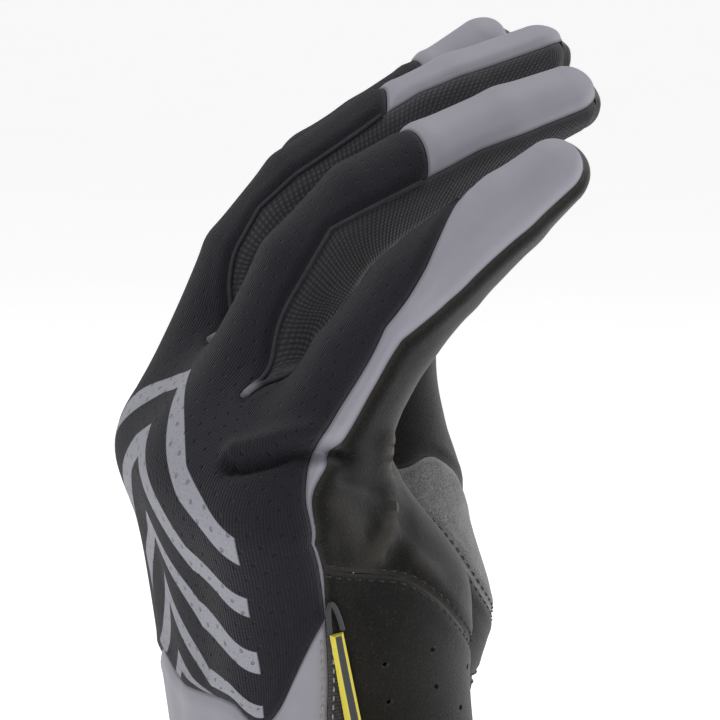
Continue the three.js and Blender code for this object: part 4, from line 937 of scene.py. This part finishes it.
def palm_border(border, s):
    """Border between two columns of the palm, from the heel's seam at s = 0 to the slits at s = 1."""
    if border == 4:
        past = mix(corner_past, slit_ends["palm"][2], s)
        return finger_probe(3, past, read_table(side_seam, past))
    heel = heel_probe(heel_angles[border])
    if border == 1:
        s = np.asarray(s, float)
        rest = np.clip((s - touch) / (1 - touch), 0, 1)
        above = mid_probe(0, mix(-6, slit_ends["palm"][0], rest), -1)
        low = between(heel, thumb_seam_probe(0), s / touch)
        return np.where((s <= touch)[..., None], low, between(thumb_seam_probe(0), above, ease(rest * 1.6)))
    past = mix(-14, slit_ends["palm"][border - 1], s)
    return between(heel, mid_probe(border - 1, past, -1), ease(s / 0.5))


def heel_line(steps):
    """The heel's seam by steps: 12 beside the thumb, then 4 to a finger. The last bends up to the strip."""
    ring = heel_probe(np.interp(steps, [0, 12, 16, 20, 24], heel_angles))
    corner = finger_probe(3, corner_past, read_table(side_seam, corner_past))
    return between(ring, corner, ease(((steps - 20) / 4 - 0.4) / 0.6))


def palm_row(k, u):
    """The palm at the height of the slits, where the front of finger k starts."""
    first = edge_probe(0, -1, slit_ends["palm"][0], "palm") if k == 0 else palm_border(k, 1.0)
    return between(first, palm_border(k + 1, 1.0), u)


def finger_front(k):
    """Front of a finger, and its end over the fingertip up to the cover."""
    finger = fingers[k]
    lows = [slit_end(k, -1 if k else 1, "palm"), slit_end(k, 1 if k < 3 else -1, "palm")]
    low = -palm_edge if k else edge_angle(0, -1, finger.end)
    high = palm_edge if k < 3 else read_table(side_seam, finger.end)

    def end_row(u):
        return finger_probe(k, np.full(np.shape(u), finger.end), mix(low + 360, high, u))

    def tip(u, v):
        inner = turn_towards(end_row(u), cover_tip(k, 2 * u - 1, 1), v)
        inner = np.where((u == 0)[..., None], palm_tip_side(k, -1, v), inner)
        return np.where((u == 1)[..., None], palm_tip_side(k, 1, v), inner)

    front = sheet(4, finger_rows + cover_rows, lambda u: palm_row(k, u), end_row,
                  lambda v: edge_probe(k, -1, finger_place(k, lows[0], v), "palm"),
                  lambda v: edge_probe(k, 1, finger_place(k, lows[1], v), "palm"))
    return [front, chart(4, 5, tip)]


def palm_sheets():
    """Three columns below the slits, the two sheets round the thumb's opening, and the four fronts."""
    sheets = [sheet(4, palm_rows, lambda u: heel_line(8 + 4 * (k + u)), lambda u: palm_row(k, u),
                    lambda v: palm_border(k, v), lambda v: palm_border(k + 1, v)) for k in (1, 2, 3)]
    sheets.append(sheet(12, touch_rows, lambda u: heel_line(12 * u), lambda u: thumb_seam_probe(mix(6, 0, u)),
                        lambda v: thumb_side_edge(mix(0, 4, v)), lambda v: palm_border(1, v * touch)))

    def thumb_side(v):
        edge = thumb_side_edge(mix(7, 12, v))
        return np.where((v > 0.999)[..., None], palm_row(0, 0.0), edge)

    sheets.append(sheet(4, palm_rows - touch_rows, lambda u: thumb_seam_probe(mix(7, seam_count, u)),
                        lambda u: palm_row(0, u), thumb_side, lambda v: palm_border(1, mix(touch, 1, v))))
    return sheets + sum((finger_front(k) for k in range(4)), [])


def suede_finish(name, dark, light, rubbed):
    """Short nap: specks of 0.3 mm over brushed patches of some millimetres, paler on the folds' ridges,
    partly rubbed and partly a painted highlight.
    """
    suede = Finish(name, Sheen_Weight=0.35, Sheen_Roughness=0.45, Specular_IOR_Level=0.2)
    nap = suede.noise(0.3, 4, 0.7)
    patch = suede.noise(5, 4, 0.6)
    broad = suede.noise(22, 2)
    base = suede.tint((nap * 1.3 + patch * 0.5 + broad * 0.3 - 0.62).step(0.1, 0.8), dark, light)
    fleck = suede.noise(0.5, 3, 0.6).step(0.56, 0.68)
    base = suede.tint(fleck * 0.2, base, rubbed)
    # Paler along the ridges of the folds: partly rubbed nap, partly a painted highlight on the ridge.
    ridge = suede.layer("fold").step(0.3, 1.3) * (0.3 + nap * 0.8)
    base = suede.tint(ridge * 0.6, base, rubbed)
    paler_at_seam = (1 - suede.layer("edge").step(0.3, 1.3)) * nap
    base = suede.tint(paler_at_seam * 0.5, base, rubbed)
    return suede.paint(Base_Color=base, Roughness=0.9 + nap * 0.1, Height=nap * 0.14 + patch * 0.1)


suede = suede_finish("palm_nap", (9, 9, 8), (32, 31, 30), (76, 72, 67))
palm = sew("palm_suede", palm_sheets(), 1.2)
palm.data.materials.append(suede)
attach(palm, "root")
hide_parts("palm_panel")


# Heel panel. The same suede over the heel of the hand and the wrist, lapped over the palm panel and held
# by two rows of stitches. Four staggered rows of small vent holes are punched through it.

band_top = 34  # height of the seam of the elastic band
gusset_top = 104  # height of the gusset's point
heel_top = heel_heights[-1][1]
gusset_edges = {  # height, and angle around the hand
    "palm": [(34, 66), (60, 68), (88, 71), (104, 81.5)],
    "back": [(34, 78), (60, 78), (88, 79.2), (104, 83.5)],
}


def gusset_probe(side, height):
    """Edge of the gusset on the palm's or the back's side."""
    return ring_probe(read_table(gusset_edges[side], height), height)


def heel_side(v):
    """Up the gusset's edge to its point, which it leaves over 6 mm, then beside the grey strip to the top."""
    leave = 6
    height = mix(band_top, heel_top, v)
    past = mix(strip_start, corner_past, np.clip((height - gusset_top) / (heel_top - gusset_top), 0, 1))
    above = finger_probe(3, past, read_table(side_seam, past))
    low = gusset_probe("palm", np.minimum(height, gusset_top))
    return between(low, above, ease((height - gusset_top + leave) / leave))


def upright(around, low, high):
    """An edge that runs straight up the hand at one angle."""
    return lambda v: ring_probe(around, mix(low, high, v))


def vent_drill(centres, radius, reach, count=20):
    """Closed round drills that stand across the cloth: circles radius (cos t, sin t) about each centre, from
    reach inside to reach outside, with the points of each drill numbered together."""
    out = outward(centres)
    side = unit(np.cross(out, z_axis))
    turn = np.linspace(0, 2 * math.pi, count, endpoint=False)[:, None, None]
    rim = radius * (np.cos(turn) * side + np.sin(turn) * np.cross(out, side))
    points = np.concatenate([centres + rim - reach * out, centres + rim + reach * out]).transpose(1, 0, 2)
    one = np.arange(count)
    after = (one + 1) % count
    fan = np.stack([0 * one[1:-1], one[1:-1], one[2:]], 1)
    drill = np.concatenate([np.stack([one, after, one + count], 1),
                            np.stack([after, after + count, one + count], 1), fan[:, ::-1], fan + count])
    faces = (drill + 2 * count * np.arange(len(centres))[:, None, None]).reshape(-1, 3)
    return add_mesh("vent_drills", points.reshape(-1, 3), faces)


heel_columns, wrist_rows = 24, 8
gusset_foot = {side: edge[0][1] for side, edge in gusset_edges.items()}  # angles at the elastic band
heel_sheet = sheet(heel_columns, wrist_rows,
                   lambda u: ring_probe(mix(heel_angles[0], gusset_foot["palm"], u), band_top),
                   lambda u: heel_line(heel_columns * u),
                   upright(heel_angles[0], band_top, heel_heights[0][1]), heel_side)
heel = sew("heel_suede", [heel_sheet], 1.2)
row, column = (index.ravel() for index in np.mgrid[0:4, 0:4])
first_angle, first_height, pitch, row_pitch, climb = 61.5, 95.5, 8.5, 6.8, 2.2
degrees_per_mm = 1.44
vent_angles = first_angle - (column + 0.25 * (row % 2)) * pitch * degrees_per_mm
vents = leave_form(ring_probe(vent_angles, first_height - row_pitch * row + climb * column))
vent_radius, drill_reach = 0.55, 3
drills = vent_drill(vents, vent_radius, drill_reach)
cut = heel.modifiers.new("vents", "BOOLEAN")
cut.operation, cut.object, cut.solver = "DIFFERENCE", drills, "EXACT"
pierced = bpy.data.meshes.new_from_object(heel.evaluated_get(bpy.context.evaluated_depsgraph_get()))
heel.modifiers.clear()
pierced.set_sharp_from_angle(angle=crease_angle)
heel.data = pierced
bpy.data.objects.remove(drills)
heel.data.materials.append(suede)
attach(heel, "root")
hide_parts("heel_panel")


# Thumb. A patch of suede at its root, a little paler than the palm's and painted much paler again as a
# painted sheen, darker suede over its front, and grey cloth over its back.
# It is set into the opening between the back and the palm, and closed by a seam across its tip.

thumb_top = 151  # height where the rounded end begins
patch_heights = [  # angle around the thumb and height
    (-45, 111), (0, 115), (25, 121), (60, 126), (90, 128.5), (210, 131)]
front_rows = [7, 7.75, 8.5, 9.25, 10, 10.5, 11, 11.5, 12, 12.5, 13, 13.5, 14]  # of the root's seam
back_rows = [4, 4.5, 5, 5.5, 6, 6 + 1 / 3, 6 + 2 / 3, 7]


def thumb_angle(row):
    """Angle around the thumb at a row of its seam, less a full turn for each time past the last row."""
    k = np.floor(row).astype(int)
    low, high = (thumb_seam[j % seam_count, 6] - 360.0 * (j // seam_count) for j in (k, k + 1))
    return mix(low, high, row - k)


def patch_top(row):
    """Height of the patch's upper seam."""
    turn = thumb_angle(row)
    return read_table(patch_heights, np.where(turn < -45, turn + 360, turn))


def thumb_sheet(rows, count, low, high):
    """From the root's seam, or a ring at low, up to a ring at high: the probes turn from the seam's to the
    ring's over 20 mm. low and high give a height for each row of the seam."""
    u = np.linspace(0, 1, (len(rows) - 1) * fineness + 1)
    v = np.linspace(0, 1, count * fineness + 1)[:, None]
    row = np.interp(u, np.linspace(0, 1, len(rows)), rows)
    seam = thumb_seam_probe(row)
    root = leave_form(seam)[:, 2]
    height = mix(root if low is None else low(row), high(row) + 0 * row, v)
    joints = np.array([j[0] for j in thumb_joints], float)
    k = np.where(height > joints[2, 2], 2, 1)
    spine = blend(joints[k], joints[k + 1], (height - joints[k, 2]) / (joints[k + 1, 2] - joints[k, 2]))
    turn = np.radians(thumb_angle(row)) + 0 * height
    ring = probe(spine, np.stack([np.sin(turn), np.cos(turn), 0 * turn], -1))
    return between(seam, ring, ease((height - root) / 20))


def thumb_tip(rows):
    """The rounded end as part of a disc, between its rim and the chord across it. A point at distance r
    from the disc's centre looks out from the last joint at r quarter turns from straight up."""
    def at(u, v):
        row = np.interp(u, np.linspace(0, 1, len(rows)), rows)
        turn, first, last = (np.radians(thumb_angle(r)) for r in (row, np.array(rows[0]), np.array(rows[-1])))
        x = mix(np.sin(turn), mix(np.sin(first), np.sin(last), u), v)
        y = mix(np.cos(turn), mix(np.cos(first), np.cos(last), u), v)
        r = np.hypot(x, y) + 1e-9
        tilt = math.pi / 2 * r
        out = np.stack([x * np.sin(tilt) / r, y * np.sin(tilt) / r, np.cos(tilt)], -1)
        return probe(np.array(thumb_joints[3][0], float), out)

    return chart(len(rows) - 1, 3, at)


patch = sew("thumb_root_patch", [thumb_sheet(front_rows, 4, None, patch_top)], 1.2)
# The patch's light grey is mostly painted sheen on suede like the palm's, with only a little paler grey of
# its own.
patch.data.materials.append(suede_finish("patch_nap_painted_sheen", (62, 61, 62), (126, 124, 125), (160, 158, 157)))
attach(patch, "root")
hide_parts("thumb_patch")

thumb_front = [thumb_sheet(front_rows, 5, patch_top, lambda row: thumb_top), thumb_tip(front_rows)]
front = sew("thumb_front_suede", thumb_front, 1.2)
front.data.materials.append(suede)
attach(front, "root")
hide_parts("thumb_front")

thumb_back = [thumb_sheet(back_rows, 9, None, lambda row: thumb_top), thumb_tip(back_rows)]
thumb_cloth = sew("thumb_back_cloth", thumb_back, 1.3)
thumb_cloth.data.materials.append(grey_cloth)
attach(thumb_cloth, "root")
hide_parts("thumb_back")


# Yoke. Grey cloth over the back of the wrist, cut low under the knit and rising to a point at the side.
# It is sewn to the heel at the thumb's side, and to the gusset at the little finger's.

yoke_columns = [0, 5, 9, 13, 18]  # where the back's borders meet it
yoke_sheet = sheet(yoke_columns[-1], wrist_rows,
                   lambda u: ring_probe(mix(yoke_angles[0], gusset_foot["back"], u), band_top),
                   lambda u: yoke_probe(np.interp(yoke_columns[-1] * u, yoke_columns, yoke_angles)),
                   upright(yoke_angles[0], band_top, yoke_heights[-1][1]),
                   lambda v: gusset_probe("back", mix(band_top, gusset_top, v)))
yoke = sew("wrist_yoke", [yoke_sheet], 1.3)
yoke.data.materials.append(grey_cloth)
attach(yoke, "root")
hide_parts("yoke")


# Gusset. A narrow wedge of twill let in between the yoke and the heel, so that the cuff can stretch.
# It runs from the elastic band up to a point.

def gusset_at(u, v):
    """From the palm's edge at u = 0 to the back's at u = 1."""
    height = mix(band_top, gusset_top, v)
    return between(gusset_probe("palm", height), gusset_probe("back", height), u)


gusset_rows, gusset_width = 10, 9
gusset_map = cloth_grid(2, gusset_rows, gusset_width, 0, gusset_top - band_top)
gusset_map[..., 0] *= 1 - np.linspace(0, 1, len(gusset_map))[:, None]
gusset = sew("side_gusset", [chart(2, gusset_rows, gusset_at)], 1.0, [gusset_map], roll=0.3)
gusset.data.materials.append(twill)
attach(gusset, "root")
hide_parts("wrist_gusset")


# Cuff. A ribbed elastic band, sewn to the yoke, the gusset and the heel all round the wrist. It is finished
# at the mouth with a rolled twill binding.

def cuff_ring(low, high, rows):
    """A closed ring about the wrist."""
    return chart(30, rows, lambda u, v: ring_probe(360 * u, mix(low, high, v)))


def band_finish():
    """Ribbed elastic: upright ribs 1.6 mm apart round the wrist, with fine rows across them."""
    band = Finish("ribbed_elastic", Sheen_Weight=0.15)
    place = band.place()
    x, y, z = (band.axis(place, name) for name in "XYZ")
    rib = (y.math("ARCTAN2", x) * 30).wave(1.6)
    row = z.wave(0.8)
    speck = band.noise(0.4, 3)
    base = band.tint(rib * 0.5 + row * 0.25 + speck * 0.25, (20, 20, 23), (62, 62, 66))
    relief = rib * 0.35 + row * 0.1 + speck * 0.04
    return band.paint(Base_Color=base, Roughness=0.95 - rib * 0.1, Height=relief)


mouth, binding_top, band_foot = 0.4, 5, 5.25  # heights
band = sew("elastic_band", [cuff_ring(band_foot, band_top, 4)], 1.6)
band.data.materials.append(band_finish())
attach(band, "root")
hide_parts("cuff_band")

binding = sew("mouth_binding", [cuff_ring(mouth, binding_top, 1)], 2.1, roll=0.8, proud=0.9)
binding.data.materials.append(twill)
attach(binding, "root")
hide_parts("cuff_binding")


# Pull tab. A moulded strip folded lengthwise, with yellow sides and a dark grey outer edge. Its root is
# caught beside the gusset, and a thin cord loop stands at its top.

tab_top, tab_length, tab_proud, tab_clearance = 101.5, 42, 5.5, 0.3
tab_from, tab_line = 18, -6.1  # x and y inside the hand, from where the tab's top is found
tab_slant = 0.24  # way in y for each mm down


def tab_root(height):
    """Where the tab stands on the form, and the way out there. Going down, it moves to the palm's side."""
    height = np.asarray(height, float)
    start = np.stack([tab_from + 0 * height, tab_line + (tab_top - height) * tab_slant, height], -1)
    root = leave_form(probe(start, x_axis))
    return root, outward(root)


def tab_strip(rows):
    """The fold's section, carried down the tab. It grows from the top, as 0.35 + 0.65 ease(1.6 s) in height
    and from 0.75 to 1.1 in width. Gives the points, the faces, and each point's share of the height."""
    share = np.linspace(0, 1, rows)
    height = tab_top - tab_length * share
    root, out = tab_root(height)
    across = unit(np.cross(out, unit(tab_root(height - 1)[0] - root)))
    stand = tab_proud * (0.35 + 0.65 * ease(share * 1.6))
    outline = np.array([(-1, 0, 3.2), (-1, 0.5, 2.1), (-1, 0.86, 1.7), (-0.9, 0.96, 1.6), (-0.6, 1, 1.5),
                        (0, 1.01, 1.5), (0.6, 1, 1.5), (0.9, 0.96, 1.6), (1, 0.86, 1.7), (1, 0.5, 2.1),
                        (1, 0, 3.2)])  # side, share of the height, and width
    side, rise, breadth = outline.T
    half = side * breadth * 0.5 * mix(0.75, 1.1, share)[:, None]
    ring = (root[:, None] + times(tab_clearance + rise * stand[:, None], out[:, None])
            + times(half, across[:, None]))
    count = len(outline)
    faces = grid_faces(rows, count + 1)
    faces = (faces // (count + 1)) * count + (faces % (count + 1)) % count
    ends = np.array([[0, k + 1, k] for k in range(1, count - 1)])
    faces = np.concatenate([faces, ends, ends[:, ::-1] + (rows - 1) * count])
    return ring.reshape(-1, 3), faces, {"rise": np.tile(rise, rows)}


def tab_finish():
    """Yellow sides with fine moulded grain, and a dark grey outer edge."""
    tab = Finish("moulded_tab", Specular_IOR_Level=0.45)
    dark = tab.layer("rise").step(0.9, 0.95)
    grain = tab.noise(0.35, 3)
    scuff = tab.noise(1.6, 4, 0.65).step(0.56, 0.7)
    yellow = tab.tint(grain * 0.6, (232, 214, 74), (246, 234, 112))
    yellow = tab.tint(scuff * 0.3, yellow, (190, 172, 60))
    grey = tab.tint(grain, (40, 41, 44), (66, 67, 70))
    base = tab.tint(dark, yellow, grey)
    return tab.paint(Base_Color=base, Roughness=0.45 + grain * 0.2, Height=grain * 0.03)


tab = add_mesh("pull_tab_strip", *tab_strip(90))
tab.data.materials.append(tab_finish())
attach(tab, "root")
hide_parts("pull_tab")


def tube(path, radius, count=10):
    """A round cord along a path: at each point a circle across the path's direction, built on one fixed
    direction so that it doesn't twist."""
    way = unit(np.gradient(path, axis=0))
    fixed = np.array([0.31, 0.17, 0.93])
    one = unit(np.cross(way, fixed))
    two = np.cross(way, one)
    turn = np.linspace(0, 2 * math.pi, count, endpoint=False)
    radius = np.broadcast_to(radius, len(path))[:, None]
    ring = (path[:, None] + times(radius * np.cos(turn), one[:, None])
            + times(radius * np.sin(turn), two[:, None]))
    a = (np.arange(len(path) - 1)[:, None] * count + np.arange(count)).ravel()
    b = (np.arange(len(path) - 1)[:, None] * count + (np.arange(count) + 1) % count).ravel()
    sides = np.concatenate([np.stack([a, a + count, b], 1), np.stack([b, a + count, b + count], 1)])
    last = (len(path) - 1) * count
    fan = np.stack([np.zeros(count - 2, int), np.arange(1, count - 1), np.arange(2, count)], 1)
    return ring.reshape(-1, 3), np.concatenate([sides, fan, fan[:, ::-1] + last])


loop_half, loop_height, loop_radius = 1.1, 5, 0.45
root, out = (value[0] for value in tab_root([tab_top + 0.6]))
up = unit(tab_root([tab_top + 5])[0][0] - root)
across = unit(np.cross(out, up))
turn = np.linspace(0, math.pi, 40)
path = root + times(-loop_half * np.cos(turn), across) + times(loop_height * np.sin(turn) ** 1.3, up) + out
loop = add_mesh("tab_cord_loop", *tube(path, loop_radius))
loop.data.materials.append(twill)
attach(loop, "root")
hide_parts("tab_loop")


# Thread. Two rows of dark stitches hold the lap of the heel panel and the thumb's seam, one row the elastic
# band, and two pale rows the yoke. Each stitch dips into the cloth at both ends.

def beside(probes, offset):
    """Points on the form beside a seam, with the way along it and out of the cloth there."""
    points = leave_form(probes)
    points = on_form(points + times(offset, np.cross(outward(points), unit(np.gradient(points, axis=0)))))
    return points, unit(np.gradient(points, axis=0)), outward(points)


def stitch_row(name, thread, probes, offsets, pitch, long, thick, lift):
    """Rows of stitches beside a seam. Each is a thread whose half thickness falls as sqrt(1 - t^4) from its
    middle at t = 0 to its ends at t = 1, where it dips into the cloth by 0.3 t^2 mm."""
    t, turn = np.linspace(-1, 1, 7)[:, None], np.linspace(0, 2 * math.pi, 6, endpoint=False)
    half = thick * np.sqrt(1.02 - t ** 4)
    rows = []
    for offset in offsets:
        points, along, out = beside(probes, offset)
        travel = np.concatenate([[0], np.cumsum(np.linalg.norm(np.diff(points, axis=0), axis=1))])
        places = np.arange(pitch / 2, travel[-1], pitch)
        centre, way, up = (np.stack([np.interp(places, travel, v[:, i]) for i in range(3)], -1)[:, None, None]
                           for v in (points, along, out))
        across = np.cross(up, way)
        height = lift + half * np.sin(turn) - 0.3 * t ** 2
        rows.append(centre + times(long / 2 * t + 0 * turn, way)
                    + times(half * np.cos(turn), across) + times(height, up))
    stitches = np.concatenate(rows).reshape(-1, 7 * 6, 3)
    cells = grid_faces(7, 7)
    ring = (cells // 7) * 6 + (cells % 7) % 6
    fan = np.stack([np.zeros(4, int), np.arange(1, 5), np.arange(2, 6)], 1)
    one = np.concatenate([ring[:, ::-1], fan, fan[:, ::-1] + 36])
    faces = (one + 42 * np.arange(len(stitches))[:, None, None]).reshape(-1, 3)
    row = add_mesh(name, stitches.reshape(-1, 3), faces)
    row.data.materials.append(thread)
    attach(row, "root")


def thread_finish(name, dark, light):
    """Two-ply thread: fine bright turns across a darker strand."""
    thread = Finish(name, Roughness=0.6)
    place = thread.place()
    turns = (thread.axis(place, "X") + thread.axis(place, "Y") + thread.axis(place, "Z")).wave(0.3)
    fuzz = thread.noise(0.25, 3)
    base = thread.tint(turns * 0.7 + fuzz * 0.3, dark, light)
    return thread.paint(Base_Color=base, Roughness=0.8 - turns * 0.25, Height=turns * 0.05 + fuzz * 0.02)


dark_thread = thread_finish("dark_thread", (14, 14, 14), (52, 52, 54))
pale_thread = thread_finish("pale_thread", (110, 110, 116), (176, 176, 182))
stitch_row("heel_stitches", dark_thread, heel_line(np.linspace(2, 24, 200)),
           (-0.75, 1.15), 2.0, 1.4, 0.17, 0.08)
stitch_row("thumb_stitches", dark_thread, thumb_seam_probe(np.linspace(-1.5, 5.8, 200) % seam_count),
           (-1.0, 1.0), 1.9, 1.3, 0.14, 0.04)
stitch_row("yoke_stitches", pale_thread, gusset_probe("back", np.linspace(38, 101, 120)),
           (-0.95, 0.95), 1.7, 1.1, 0.16, 0.1)
stitch_row("band_stitches", dark_thread, ring_probe(np.linspace(0, 360, 300), 35.4),
           (0.0,), 2.4, 1.7, 0.2, 0.12)


# Slit piping. The knit's cut edge is rolled and runs round each slit between two fingers, from one cover
# to the next. At the end of the slit it is thicker and paler, as a lip.

def piping_finish():
    """Rolled knit, painted a little paler than the cloth as a painted highlight along the roll, and pale grey
    at the ends of the slits.
    """
    roll = Finish("rolled_knit", Specular_IOR_Level=0.3)
    fine, broad = roll.noise(0.4, 3), roll.noise(3, 3)
    # The roll's paler tone than the knit is a painted highlight along the rolled edge.
    dark = roll.tint(fine * 0.6 + broad * 0.4, (22, 22, 26), (66, 66, 72))
    base = roll.tint(roll.layer("lip").step(0.15, 0.8) * (0.45 + fine * 0.4), dark, (128, 127, 133))
    return roll.paint(Base_Color=base, Roughness=0.9 - broad * 0.2, Height=fine * 0.06)


rolled = piping_finish()
lip_reach = 3.2
for k, name in enumerate(between_fingers):
    low = slit_ends["back"][k]
    near = edge_probe(k, 1, np.linspace(cover_starts[k] - 1, low, 90), "back")
    far = edge_probe(k + 1, -1, np.linspace(low, cover_starts[k + 1] - 1, 90)[1:], "back")
    path = leave_form(np.concatenate([near, far]))
    lip = np.exp(-(np.linalg.norm(path - path[89], axis=1) / lip_reach) ** 2)
    points, faces = tube(path + times(0.05 + 0.2 * lip, outward(path)), 0.42 + 0.3 * lip, 10)
    piping = add_mesh(name + "_piping", points, faces, {"lip": np.repeat(lip, 10)})
    piping.data.materials.append(rolled)
    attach(piping, "root")


# Studio. A pale floor, a large soft light at each side and above, and the camera of the photograph.
# The photograph is taken nearly level, from the little finger's side.

def facing(right_way, up_way, back_way, place):
    """Matrix of a camera or a light from its three directions and its place."""
    rows = np.stack([right_way, up_way, back_way, place], 1)
    return Matrix(np.vstack([rows, [0, 0, 0, 1]]).tolist())


photo_side, photo_scale = 720, 5.56  # pixels, and pixels to the millimetre
look, look_across, look_down = np.array([0, 0.004, 0.131]), 335.4, 436.4  # a point in metres, and its pixel
azimuth, elevation, distance = math.radians(75.8), math.radians(6), 0.8
level = math.cos(elevation)
back_way = np.array([math.sin(azimuth) * level, -math.cos(azimuth) * level, math.sin(elevation)])
right_way = np.array([math.cos(azimuth), math.sin(azimuth), 0])
lens = bpy.data.cameras.new("photo_view")
lens.sensor_width = lens.sensor_height = 36
lens.lens = 36 * distance / (photo_side / 1000 / photo_scale)
lens.shift_x, lens.shift_y = 0.5 - look_across / photo_side, look_down / photo_side - 0.5
lens.clip_end = 200
camera = bpy.data.objects.new("photo_view", lens)
bpy.context.scene.collection.objects.link(camera)
camera.matrix_world = facing(right_way, np.cross(back_way, right_way), back_way, look + distance * back_way)
bpy.context.scene.camera = camera

reach, drop = 60, -0.002  # metres: half the floor's side, and its height
floor_mesh = bpy.data.meshes.new("studio_floor")
corners = [(-reach, -reach, drop), (reach, -reach, drop), (reach, reach, drop), (-reach, reach, drop)]
floor_mesh.from_pydata(corners, [], [(0, 1, 2, 3)])
floor = bpy.data.objects.new("studio_floor", floor_mesh)
bpy.context.scene.collection.objects.link(floor)
pale = Finish("pale_floor", Roughness=0.9, Emission_Color=(1, 1, 1, 1), Emission_Strength=0.36)
tone = pale.tint(pale.noise(160, 2), (244, 244, 244), (250, 250, 250))
floor.data.materials.append(pale.paint(Base_Color=tone))

world = bpy.data.worlds.new("studio_air")
world.use_nodes = True
air = world.node_tree.nodes["Background"].inputs
air["Color"].default_value, air["Strength"].default_value = (1, 1, 1, 1), 0.62
bpy.context.scene.world = world
bpy.context.scene.view_settings.view_transform = "Standard"


def soft_light(name, place, size, power):
    """A square light that looks at the middle of the glove."""
    lamp = bpy.data.lights.new(name, "AREA")
    lamp.size, lamp.energy = size, power
    light = bpy.data.objects.new(name, lamp)
    bpy.context.scene.collection.objects.link(light)
    glove_middle = np.array([0, 0, 0.12])
    back_way = unit(np.array(place, float) - glove_middle)
    right_way = unit(np.cross([0, 0, 1.0], back_way))
    light.matrix_world = facing(right_way, np.cross(back_way, right_way), back_way, np.array(place, float))


soft_light("key", (0.8, -0.9, 0.9), 0.8, 2)
soft_light("side", (0.1, 1.5, 0.5), 0.8, 7)
soft_light("top", (-0.2, 0.1, 1.4), 0.9, 6)
